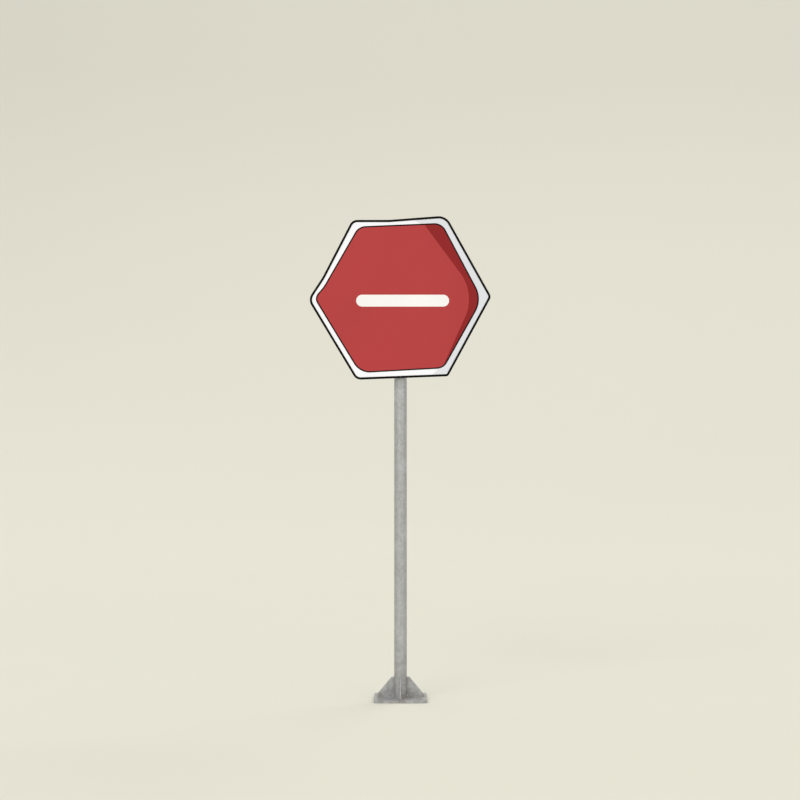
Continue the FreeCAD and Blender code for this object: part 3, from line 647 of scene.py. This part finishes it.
def makeRail(level):
    low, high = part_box(f"{level}_rail")
    middle, halfWidth = (low.z + high.z) / 2, (high.z - low.z) / 2
    face, back = high.y, low.y
    flangeBack = back + rail["flange"]
    inside, outside, slot = rail["channelHalf"] - rail["wall"], rail["channelHalf"], rail["slotHalf"]
    groove, deep = (outside + halfWidth) / 2, flangeBack - rail["grooveDepth"]
    half = [(flangeBack, inside), (face - rail["lip"], inside), (face - rail["lip"], slot), (face, slot),
            (face, outside), (flangeBack, outside), (flangeBack, groove - rail["grooveHalf"]),
            (deep, groove), (flangeBack, groove + rail["grooveHalf"]), (flangeBack, halfWidth),
            (back, halfWidth)]
    section = half + [(y, -z) for y, z in reversed(half)]
    bm = bmesh.new()
    end = addPolygon(bm, [(low.x, y, middle + z) for y, z in section])
    growFace(bm, end, moveBy(x=high.x - low.x))
    # the long edges only: the sawn ends stay sharp
    roundEdges(bm, rail["edgeRound"], limit=rail["roundAngle"],
               wanted=lambda edge: abs(edge.verts[0].co.x - edge.verts[1].co.x) > tiny)
    makePiece(bm, f"{level}Rail", signHead, "aluminium_rail", f"{level}_rail")


endCap = {
    "edgeRound": 0.0007,
    "edgeSteps": 3,
    "plugReach": 0.0075,  # into the rail
    "plugRoot": 0.0006,  # into the cap
    "plugInset": 0.0027,
    "plugLift": 0.0003,
    "ribs": 3,
    "ribInset": 0.002,
    "ribHalf": 0.0004,
    "ribHeights": (0.0001, 0.0006),  # where a rib begins and ends, away from the plate
    "ribShorter": 0.001,  # than the plug
}


def makeEndCaps(level):
    low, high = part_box(f"{level}_rail_end_caps")
    railLow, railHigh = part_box(f"{level}_rail")
    bm = bmesh.new()
    for tip, railEnd in ((low.x, railLow.x), (high.x, railHigh.x)):
        near, far = sorted((tip, railEnd))
        addBlock(bm, (near, low.y, low.z), (far, high.y, high.z))
    roundEdges(bm, endCap["edgeRound"], endCap["edgeSteps"])
    inset, edge = endCap["plugInset"], endCap["plugInset"] + endCap["ribInset"]
    ribLow, ribHigh = [low.y + lift for lift in endCap["ribHeights"]]
    for side, railEnd in ((1, railLow.x), (-1, railHigh.x)):
        near, far = sorted((railEnd - side * endCap["plugRoot"], railEnd + side * endCap["plugReach"]))
        addBlock(bm, (near, low.y + endCap["plugLift"], low.z + inset),
                 (far, high.y - inset, high.z - inset))
        for height in evenly(low.z + edge, high.z - edge, endCap["ribs"]):
            # thin ribs that bite into the channel
            addBlock(bm, (near, ribLow, height - endCap["ribHalf"]),
                     (far - endCap["ribShorter"], ribHigh, height + endCap["ribHalf"]))
    makePiece(bm, f"{level}RailEndCaps", signHead, "black_plastic", f"{level}_rail_end_caps")


rivet = {
    "perRow": 4,
    "steps": 28,
    "radius": 0.0024,
    "head": 0.0044,
    "headEdge": 0.0001,
    "sink": 0.002,
    "bulb": 0.0039,
    # the blind end, as shares of the bulb's radius: first up from the flange, then down from the tip
    "bulbUp": [(0.82, 0.0), (0.97, 0.0005), (1.0, 0.0012), (0.94, 0.0022)],
    "bulbDown": [(0.80, 0.0009), (0.62, 0.0005)],
    # the broken stem, as shares of the stub's radius, down from the tip
    "stub": 0.0013,
    "stubDown": [(1.15, 0.0004), (1.0, 0.0002), (0.8, 0.0), (0.0, 0.0003)],
}


def makeRivets(level):
    low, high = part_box(f"{level}_rail_rivets")
    grip, reach = plateHigh.y + rail["flange"] - low.y, high.y - low.y
    profile = [(0, 0), (rivet["head"] - rivet["headEdge"], 0), (rivet["radius"], rivet["sink"]),
               (rivet["radius"], grip)]
    profile += [(rivet["bulb"] * share, grip + up) for share, up in rivet["bulbUp"]]
    profile += [(rivet["bulb"] * share, reach - down) for share, down in rivet["bulbDown"]]
    profile += [(rivet["stub"] * share, reach - down) for share, down in rivet["stubDown"]]
    one = bmesh.new()
    addSpun(one, profile, rivet["steps"])
    places = [moveBy(x, low.y, z) @ facingBack
              for x in evenly(low.x + rivet["head"], high.x - rivet["head"], rivet["perRow"])
              for z in (low.z + rivet["head"], high.z - rivet["head"])]
    bm = bmesh.new()
    stamp(bm, asMesh(one, "oneRivet"), places)
    makePiece(bm, f"{level}RailRivets", signHead, "rivet_aluminium", f"{level}_rail_rivets")


for level in ("upper", "lower"):
    makeRail(level)
    makeEndCaps(level)
    makeRivets(level)
print("rails, end caps and rivets made")


strap = {
    "thickness": 0.004,
    "bend": 0.003,
    "tipRound": 0.007,
    "edgeRound": 0.0007,
    "edgeShare": 0.3,
    "beadHalf": 0.0055,
    "beadTop": 0.003,
    "beadRise": 0.0012,
    "straightShares": (0.35, 0.35, 0.30),  # from bend to hoop: flat, the bead's ramp, its full height
    "hoopSteps": 48,
    "bendSteps": 8,
    "tipSteps": 6,
}


def makeStrap(level):
    low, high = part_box(f"{level}_clamp_strap")
    middle, half = (low.z + high.z) / 2, (high.z - low.z) / 2
    thick, bend, soft, tip = [strap[name] for name in ("thickness", "bend", "edgeRound", "tipRound")]
    centre, bendY = high.y + bend, low.y + thick + bend
    softer = soft * strap["edgeShare"]
    # the section, as (outwards through the thickness, up across the width)
    section = [(0, half - soft), (softer, half - softer), (soft, half), (thick - soft, half),
               (thick - softer, half - softer), (thick, half - soft),
               (thick, strap["beadHalf"]), (thick, strap["beadTop"])]
    section += [(through, -up) for through, up in reversed(section)]
    narrow = (half - tip) / half
    bm = bmesh.new()
    face = addPolygon(bm, [(high.x, low.y + through, middle + up * narrow) for through, up in section])

    def advance(change):
        nonlocal face
        face = growFace(bm, face, change)

    def roundTip(angles):
        # the ear's round end, in steps that change its width
        for begin, stop in zip(angles, angles[1:]):
            shift = tip * abs(math.cos(stop) - math.cos(begin))
            before, after = [half - tip + tip * math.sin(angle) for angle in (begin, stop)]
            widen = Matrix.Diagonal((1, 1, after / before, 1))
            advance(moveBy(x=-shift) @ moveBy(z=middle) @ widen @ moveBy(z=-middle))

    def turnBend(x):
        for _ in range(strap["bendSteps"]):
            advance(turnAbout(x, bendY, -math.pi / 2 / strap["bendSteps"]))

    def shiftBead():
        # outwards on the right, where the pressed bead begins, and back in on the left
        for vert in face.verts:
            if abs(vert.co.z - middle) < strap["beadTop"] + tiny:
                vert.co.x += strap["beadRise"]

    angles = evenly(0, math.pi / 2, strap["tipSteps"] + 1)
    flat, ramp, raised = [bendY * share for share in strap["straightShares"]]
    roundTip(angles)
    advance(moveBy(x=centre + tip - high.x))
    turnBend(centre)
    advance(moveBy(y=-flat))
    advance(moveBy(y=-ramp))
    shiftBead()
    advance(moveBy(y=-raised))
    for _ in range(strap["hoopSteps"]):
        advance(Matrix.Rotation(math.pi / strap["hoopSteps"], 4, "Z"))
    advance(moveBy(y=raised))
    advance(moveBy(y=ramp))
    shiftBead()
    advance(moveBy(y=flat))
    turnBend(-centre)
    advance(moveBy(x=centre + tip - high.x))
    roundTip(angles[::-1])
    makePiece(bm, f"{level}ClampStrap", signHead, "galvanised_steel", f"{level}_clamp_strap")


def makeHexagonal(bm, acrossFlats, wanted):
    # Pushes round walls out to a hexagon, and yields each vert with how deep its corner is cut.
    apothem, sector, cut = acrossFlats / 2, math.radians(60), math.radians(30)
    for vert in bm.verts:
        if wanted(vert) and radiusOf(vert) > apothem - tiny:
            angle = angleOf(vert)
            fromFlat = (angle + sector / 2) % sector - sector / 2
            corner = apothem / math.cos(fromFlat)
            vert.co.x, vert.co.y = corner * math.cos(angle), corner * math.sin(angle)
            yield vert, (corner - apothem) * math.tan(cut)


bolt = {
    "flats": 0.013,
    "headHeight": 0.0053,
    "faceShare": 0.95,
    "headEdge": 0.0002,
    "seatEdge": 0.0003,
    "radius": 0.004,
    "pitch": 0.00125,
    "threadDepth": 0.00062,
    "threadLength": 0.0165,
    "ringsPerTurn": 6,
    "tipChamfer": 0.0009,
    "tipInset": 0.0003,
    "steps": 36,
    "sharpAngle": 30,
}


def boltShape(reach):
    radius, pitch, head = bolt["radius"], bolt["pitch"], bolt["headHeight"]
    apothem = bolt["flats"] / 2
    threadStart = reach - bolt["threadLength"]
    threadEnd = reach - bolt["tipChamfer"]
    rings = int((threadEnd - threadStart) / pitch * bolt["ringsPerTurn"])
    profile = [(0, -head), (apothem * bolt["faceShare"], -head), (apothem, bolt["headEdge"] - head),
               (apothem, -bolt["seatEdge"]), (apothem * bolt["faceShare"], 0), (radius, 0)]
    profile += [(radius, height) for height in evenly(threadStart, threadEnd, rings)]
    profile += [(radius - bolt["threadDepth"] - bolt["tipInset"], reach), (0, reach)]
    bm = bmesh.new()
    addSpun(bm, profile, bolt["steps"])
    for vert, drop in makeHexagonal(bm, bolt["flats"], lambda vert: vert.co.z < -tiny):
        vert.co.z += drop if vert.co.z < -head / 2 else 0
    for vert in bm.verts:
        along = vert.co.z
        if threadStart + tiny < along < threadEnd + tiny and radiusOf(vert) > radius / 2:
            phase = (along / pitch - angleOf(vert) / math.tau) % 1
            fade = min(1, (along - threadStart) / pitch)
            shrink = 1 - fade * bolt["threadDepth"] * abs(2 * phase - 1) / radius
            vert.co.x *= shrink
            vert.co.y *= shrink
    return asMesh(bm, "oneBolt")


washer = {"radius": 0.008, "bore": 0.0042, "edge": 0.0002, "steps": 48}


def washerShape(thickness):
    outer, inner, soft = washer["radius"], washer["bore"], washer["edge"]
    bm = bmesh.new()
    addSpun(bm, [(inner, soft), (inner + soft, 0), (outer - soft, 0), (outer, soft),
                 (outer, thickness - soft), (outer - soft, thickness), (inner + soft, thickness),
                 (inner, thickness - soft)], washer["steps"], closed=True)
    return asMesh(bm, "oneWasher")


nut = {
    "flats": 0.013,
    "bore": 0.00405,
    "hexShare": 0.78,
    "faceShares": (0.94, 0.95),
    "hexEdge": 0.0002,
    "collar": 0.0056,
    "soft": 0.0005,
    "softShares": (0.4, 0.3),
    # the locking ring in the collar: out from the bore, down from the top
    "lockRing": [(0.0009, 0.0), (0.0006, 0.0004), (0.0002, 0.0005), (0.0, 0.0009)],
    "steps": 60,
    # how far each nut is turned, in radians
    "sideTurn": 0.35,
    "levelTurn": {"upper": 0.5, "lower": 0.0},
}


def nutShape(height):
    apothem, bore, soft, collar = nut["flats"] / 2, nut["bore"], nut["soft"], nut["collar"]
    shoulder = height * nut["hexShare"]
    lowFace, highFace = [apothem * share for share in nut["faceShares"]]
    inward, down = [soft * share for share in nut["softShares"]]
    bm = bmesh.new()
    addSpun(bm, [(bore, soft), (bore + soft, 0), (lowFace, 0), (apothem, nut["hexEdge"]),
                 (apothem, shoulder - nut["hexEdge"]), (highFace, shoulder), (collar, shoulder),
                 (collar, height - soft), (collar - inward, height - down), (collar - soft, height)]
            + [(bore + out, height - down) for out, down in nut["lockRing"]],
            nut["steps"], closed=True)
    for vert, drop in makeHexagonal(bm, nut["flats"], lambda vert: vert.co.z < shoulder - tiny):
        vert.co.z += drop if vert.co.z < shoulder / 2 else -drop
    return asMesh(bm, "oneNut")


def makeFasteners(level):
    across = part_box(f"{level}_clamp_washers")[1].x - washer["radius"]
    # what makes each kind, and how far its local zero is from its low side
    kinds = {"bolts": (boltShape, bolt["headHeight"]), "washers": (washerShape, 0),
             "nuts": (nutShape, 0)}
    for kind, (build, seat) in kinds.items():
        low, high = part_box(f"{level}_clamp_{kind}")
        places = []
        for side in (-1, 1):
            turn = side * nut["sideTurn"] + nut["levelTurn"][level] if kind == "nuts" else 0
            place = moveBy(side * across, low.y + seat, (low.z + high.z) / 2)
            places.append(place @ facingBack @ Matrix.Rotation(turn, 4, "Z"))
        bm = bmesh.new()
        stamp(bm, build(high.y - low.y - seat), places)
        makePiece(bm, f"{level}Clamp{kind.capitalize()}", signHead, "zinc_plated_steel",
                  f"{level}_clamp_{kind}", bolt["sharpAngle"])


for level in ("upper", "lower"):
    makeStrap(level)
    makeFasteners(level)
print("clamps made")


tube = {"wall": 0.0032, "edge": 0.0005, "steps": 128}


def makeTube():
    outer, inner, soft = tubeRadius, tubeRadius - tube["wall"], tube["edge"]
    bottom, top = tubeLow.z, tubeHigh.z
    bm = bmesh.new()
    addSpun(bm, [(inner, bottom), (outer, bottom), (outer, top - soft), (outer - soft, top),
                 (inner + soft, top), (inner, top - soft)], tube["steps"], closed=True)
    makePiece(bm, "postTube", post, "galvanised_steel", "post_tube")


cap = {
    "steps": 144,
    "clearance": 0.0001,
    "boreEdge": 0.001,
    "mouth": (0.0006, 0.0008),  # its chamfer, outwards and up
    "lip": [(-0.0003, 0.0), (0.0, 0.0004), (0.0, 0.0018)],  # outwards from the rim's edge, up from it
    "skinUp": (0.0024, 0.0045),  # rings of the wall, up from the rim
    "skinDown": (0.004, 0.0015),  # and down from the tube's end
    "ribStart": 0.004,
    "ribStop": 0.0035,
    "ribEvery": 6,
    "ribWidth": 2,
    "ribHeight": 0.0006,
    "domeStart": 0.001,
    "domeReach": 0.011,
    "domeSteps": 9,
    "domeDrop": 0.001,
    "crown": [(0.012, 0.0002), (0.006, 0.0)],  # radius, and depth under the crown
    "gateRadius": 0.0022,
    "gateHeight": 0.0006,
    "gate": [(0.9, 0.0001), (0.5, 0.0), (0.0, 0.0001)],  # share of its radius, and depth under its top
}


def makeCap():
    low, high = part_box("post_cap")
    inner, outer = tubeRadius + cap["clearance"], (high.x - low.x) / 2
    skin = outer - cap["ribHeight"]
    top, seat, rim = high.z, tubeHigh.z, low.z
    crown, gate = top - cap["gateHeight"], cap["gateRadius"]
    profile = [(0, seat), (inner - cap["boreEdge"], seat), (inner, seat - cap["boreEdge"]),
               (inner, rim + cap["mouth"][1]), (inner + cap["mouth"][0], rim)]
    profile += [(outer + out, rim + up) for out, up in cap["lip"]]
    profile += [(skin, rim + up) for up in cap["skinUp"]]
    profile += [(skin, seat - down) for down in cap["skinDown"]]
    # an elliptical shoulder, then a nearly flat crown with the mark of the gate
    domeLow, domeHigh = seat + cap["domeStart"], crown - cap["domeDrop"]
    for turn in evenly(0, math.pi / 2, cap["domeSteps"]):
        inward, share = cap["domeReach"] * (1 - math.cos(turn)), math.sin(turn)
        profile.append((skin - inward, domeLow + (domeHigh - domeLow) * share))
    profile += [(radius, crown - down) for radius, down in cap["crown"]] + [(gate, crown)]
    profile += [(gate * share, top - down) for share, down in cap["gate"]]
    bm = bmesh.new()
    addSpun(bm, profile, cap["steps"])
    ribLow, ribHigh = rim + cap["ribStart"], seat - cap["ribStop"]
    for vert in bm.verts:
        radius = radiusOf(vert)
        step = round(angleOf(vert) / math.tau * cap["steps"])
        onRib = step % cap["ribEvery"] < cap["ribWidth"]
        if onRib and ribLow < vert.co.z < ribHigh and radius > skin - tiny:
            vert.co.x *= outer / radius
            vert.co.y *= outer / radius
    makePiece(bm, "postCap", post, "black_plastic", "post_cap")


gusset = {
    "thickness": 0.008,
    "snipe": 0.010,
    "weld": 0.004,
    "tip": 0.012,
    "edgeRound": 0.0008,
    "edgeSteps": 3,
    "count": 4,
}


gussetNear = math.sqrt(tubeRadius ** 2 - (gusset["thickness"] / 2) ** 2)  # where it meets the tube


def quarterTurns():
    return [Matrix.Rotation(math.tau * i / gusset["count"], 4, "Z") for i in range(gusset["count"])]


def makeGussets():
    low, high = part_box("base_gussets")
    corners = [(gussetNear, low.z + gusset["snipe"] + gusset["weld"]),
               (tubeRadius + gusset["snipe"], low.z), (high.x, low.z), (high.x, low.z + gusset["tip"]),
               (tubeRadius + gusset["tip"], high.z), (gussetNear, high.z)]
    one = bmesh.new()
    side = addPolygon(one, [(x, -gusset["thickness"] / 2, z) for x, z in corners])
    growFace(one, side, moveBy(y=gusset["thickness"]))
    roundEdges(one, gusset["edgeRound"], gusset["edgeSteps"],
               wanted=lambda edge: all(vert.co.x > gussetNear + tiny for vert in edge.verts))
    bm = bmesh.new()
    stamp(bm, asMesh(one, "oneGusset"), quarterTurns())
    makePiece(bm, "baseGussets", post, "galvanised_steel", "base_gussets")


weld = {
    "ripple": 0.0034,
    "rippleHeight": 0.00055,
    "rippleRound": 0.6,  # under 1, it rounds the ripples' tops
    "perRipple": 6,
    "wander": 0.0005,
    "wanderScale": 130,
    "arcPoints": 6,
    "bulge": 0.2,
    "footLegs": (0.93, 0.95),  # shares of the weld's own size that its toes reach, outwards and up
    "footRoot": (0.0006, 0.0001),  # how far it goes into the tube and into the plate
    "footStill": 0.05,
    "gussetLeg": 0.93,
    "gussetRoot": 0.0003,
    "gussetStill": 0.0001,
    "gussetPush": 0.7,
    "taperTo": 0.55,
    "seeds": {"foot": 3.1, "flat": 7.7, "upright": 1.9},
    "sharpAngle": 70,
}


def beadArc(legOut, legUp):
    # The bead's face from its toe on one plate to its toe on the other, bulging a little.
    arc = []
    for share in evenly(0, 1, weld["arcPoints"]):
        swell = 1 + weld["bulge"] * math.sin(math.pi * share)
        arc.append((legOut * (1 - share) * swell, legUp * share * swell))
    return arc


def rippleAt(distance, seed):
    wave = abs(math.sin(math.pi * distance / weld["ripple"])) ** weld["rippleRound"]
    wander = noise.noise(Vector((distance * weld["wanderScale"], seed, 0)))
    return weld["rippleHeight"] * (wave - 1) + weld["wander"] * wander


def makeFootWeld():
    low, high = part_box("foot_weld")
    leg = high.z - low.z
    middleRadius = tubeRadius + leg / 2
    root, dip = weld["footRoot"]
    arc = beadArc(*[leg * share for share in weld["footLegs"]])
    profile = [(tubeRadius - root, low.z - dip)]
    profile += [(tubeRadius + out, low.z + up) for out, up in arc]
    profile.append((tubeRadius - root, low.z + arc[-1][1]))
    steps = int(math.tau * middleRadius / weld["ripple"] * weld["perRipple"])
    bm = bmesh.new()
    addSpun(bm, profile, steps, closed=True)
    still = leg * weld["footStill"]
    for vert in bm.verts:
        radius = radiusOf(vert)
        if radius > tubeRadius + still and vert.co.z > low.z + still:
            along = angleOf(vert) * middleRadius
            outward = Vector((vert.co.x / radius, vert.co.y / radius, 1)).normalized()
            vert.co += outward * rippleAt(along, weld["seeds"]["foot"])
    makePiece(bm, "footWeld", post, "galvanised_weld", "foot_weld", weld["sharpAngle"])


def straightBead(length, seed):
    # A rippled bead along X in the corner between the XY and XZ planes, tapering at its ends.
    leg, root = gusset["weld"], weld["gussetRoot"]
    rings = int(length / weld["ripple"] * weld["perRipple"])
    outline = [(-root, -root)] + beadArc(leg * weld["gussetLeg"], leg * weld["gussetLeg"])
    bm = bmesh.new()
    face = addPolygon(bm, [(0, out, up) for out, up in outline])
    verts = list(face.verts)
    for _ in range(rings):
        face = growFace(bm, face, moveBy(x=length / rings))
        verts += face.verts
    for vert in verts:
        along, out, up = vert.co
        toEnd = max(0, min(along, length - along))
        taper = weld["taperTo"] + (1 - weld["taperTo"]) * min(1, math.sqrt(toEnd / leg))
        if out > 0 or up > 0:
            free = min(out, up) > weld["gussetStill"]
            push = weld["gussetPush"] * rippleAt(along, seed) if free else 0
            vert.co.y, vert.co.z = out * taper + push, up * taper + push
    return asMesh(bm, "oneBead")


def makeGussetWelds():
    low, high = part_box("base_gussets")
    flank, leg = gusset["thickness"] / 2, gusset["weld"]
    bottom = low.z + gusset["snipe"] + leg
    flatStart = tubeRadius + gusset["snipe"]
    flatBead = straightBead(high.x - flatStart, weld["seeds"]["flat"])
    uprightBead = straightBead(high.z - leg - bottom, weld["seeds"]["upright"])
    # stand the bead up: along X becomes along Z, its two legs lie on the tube and on the flank
    standing = Matrix(((0, 0, 1, 0), (0, 1, 0, 0), (1, 0, 0, 0), (0, 0, 0, 1)))
    # and the leg on the tube follows the tube's curve away from the flank
    lean = Matrix.Identity(4)
    lean[0][1] = -(flank + leg / 2) / gussetNear
    upright = moveBy(gussetNear, flank, bottom) @ lean @ standing
    flat = moveBy(flatStart, flank, low.z)
    sides = [turn @ mirror for turn in quarterTurns()
             for mirror in (Matrix.Identity(4), Matrix.Diagonal((1, -1, 1, 1)))]
    bm = bmesh.new()
    stamp(bm, flatBead, [side @ flat for side in sides])
    stamp(bm, uprightBead, [side @ upright for side in sides])
    makePiece(bm, "gussetWelds", post, "galvanised_weld", "gusset_welds", weld["sharpAngle"])


makeTube()
makeCap()
makeGussets()
makeFootWeld()
makeGussetWelds()
print("post, cap and foot made")


# The studio: one pale bowl for floor and backdrop, soft lights, and the camera in front.
studio = {
    "floorRadius": 7.0,
    "wallRadius": 12.0,
    "wallHeight": 9.0,
    "curveSteps": 14,
    "roundSteps": 96,
    "tone": (0.712, 0.693, 0.598),
    "darkest": 0.99,
    "paper": (1.2, 2.0),
    "plain": {"Roughness": 0.95, "Specular IOR Level": 0.0},
    "skyColour": (1.0, 0.995, 0.98, 1),
    "skyHeights": (-0.3, 0.9),
    "skyStrengths": (0.62, 0.75),
    "softness": 35,  # degrees across each lamp
    "lights": [
        # name, degrees round from the right, degrees up, strength
        ("keyLight", -118, 32, 1.05),
        ("fillLight", -55, 18, 0.38),
        ("backLight", 55, 34, 0.95),
        ("backFill", 128, 16, 0.34),
    ],
}


def makeSky():
    # Even light from all round, a little stronger from above.
    world = bpy.data.worlds.new("studioWorld")
    scene.world = world
    world.use_nodes = True
    tree = world.node_tree
    facing = addNode(tree, "ShaderNodeTexCoord").outputs["Generated"]
    background = tree.nodes["Background"]
    background.inputs["Color"].default_value = studio["skyColour"]
    strength = spread(tree, separate(tree, facing)["Z"], studio["skyHeights"], studio["skyStrengths"])
    feed(tree, strength, background, "Strength")


def makeBowl():
    finish, tree, shader = newFinish("studioPaper", studio["plain"])
    paper = noiseAt(tree, objectPlace(tree), *studio["paper"])
    tone = studio["tone"]
    feed(tree, mixColours(tree, paper, toned(studio["darkest"], tone), tone), shader, "Base Color")
    floor, wall = studio["floorRadius"], studio["wallRadius"]
    sweep = wall - floor
    profile = [(0, 0)]
    for turn in evenly(0, math.pi / 2, studio["curveSteps"]):
        profile.append((floor + sweep * math.sin(turn), sweep * (1 - math.cos(turn))))
    profile.append((wall, studio["wallHeight"]))
    bm = bmesh.new()
    addSpun(bm, profile, studio["roundSteps"])
    bmesh.ops.reverse_faces(bm, faces=[face for face in bm.faces if face.normal.z < 0])
    mesh = bpy.data.meshes.new("studioBowl")
    bm.to_mesh(mesh)
    bm.free()
    mesh.shade_smooth()
    mesh.materials.append(finish)
    bowl = bpy.data.objects.new("studioBowl", mesh)
    # the sky's light passes through the bowl, so floor and wall come out evenly bright
    bowl.visible_diffuse = bowl.visible_shadow = False
    scene.collection.objects.link(bowl)


def makeLights():
    for name, around, up, strength in studio["lights"]:
        lamp = bpy.data.lights.new(name, "SUN")
        lamp.angle, lamp.energy = math.radians(studio["softness"]), strength
        light = bpy.data.objects.new(name, lamp)
        light.rotation_euler = (0, math.radians(90 - up), math.radians(around))
        scene.collection.objects.link(light)


camera = {
    "lens": 85.0,
    "sensor": 36.0,
    "span": 3.773,  # the width in view at the sign
    "left": 0.0024,  # of the post's axis
    "below": 0.4815,  # the middle of the sign
}


def makeCamera():
    data = bpy.data.cameras.new("frontCamera")
    data.lens, data.sensor_width = camera["lens"], camera["sensor"]
    eye = bpy.data.objects.new("frontCamera", data)
    distance = camera["span"] * camera["lens"] / camera["sensor"]
    eye.location = (-camera["left"], plateLow.y - distance, headMiddle - camera["below"])
    eye.rotation_euler = (math.pi / 2, 0, 0)
    scene.collection.objects.link(eye)
    scene.camera = eye
    view = scene.view_settings
    view.view_transform, view.look = "Standard", "None"


makeSky()
makeBowl()
makeLights()
makeCamera()
print("studio and camera made")
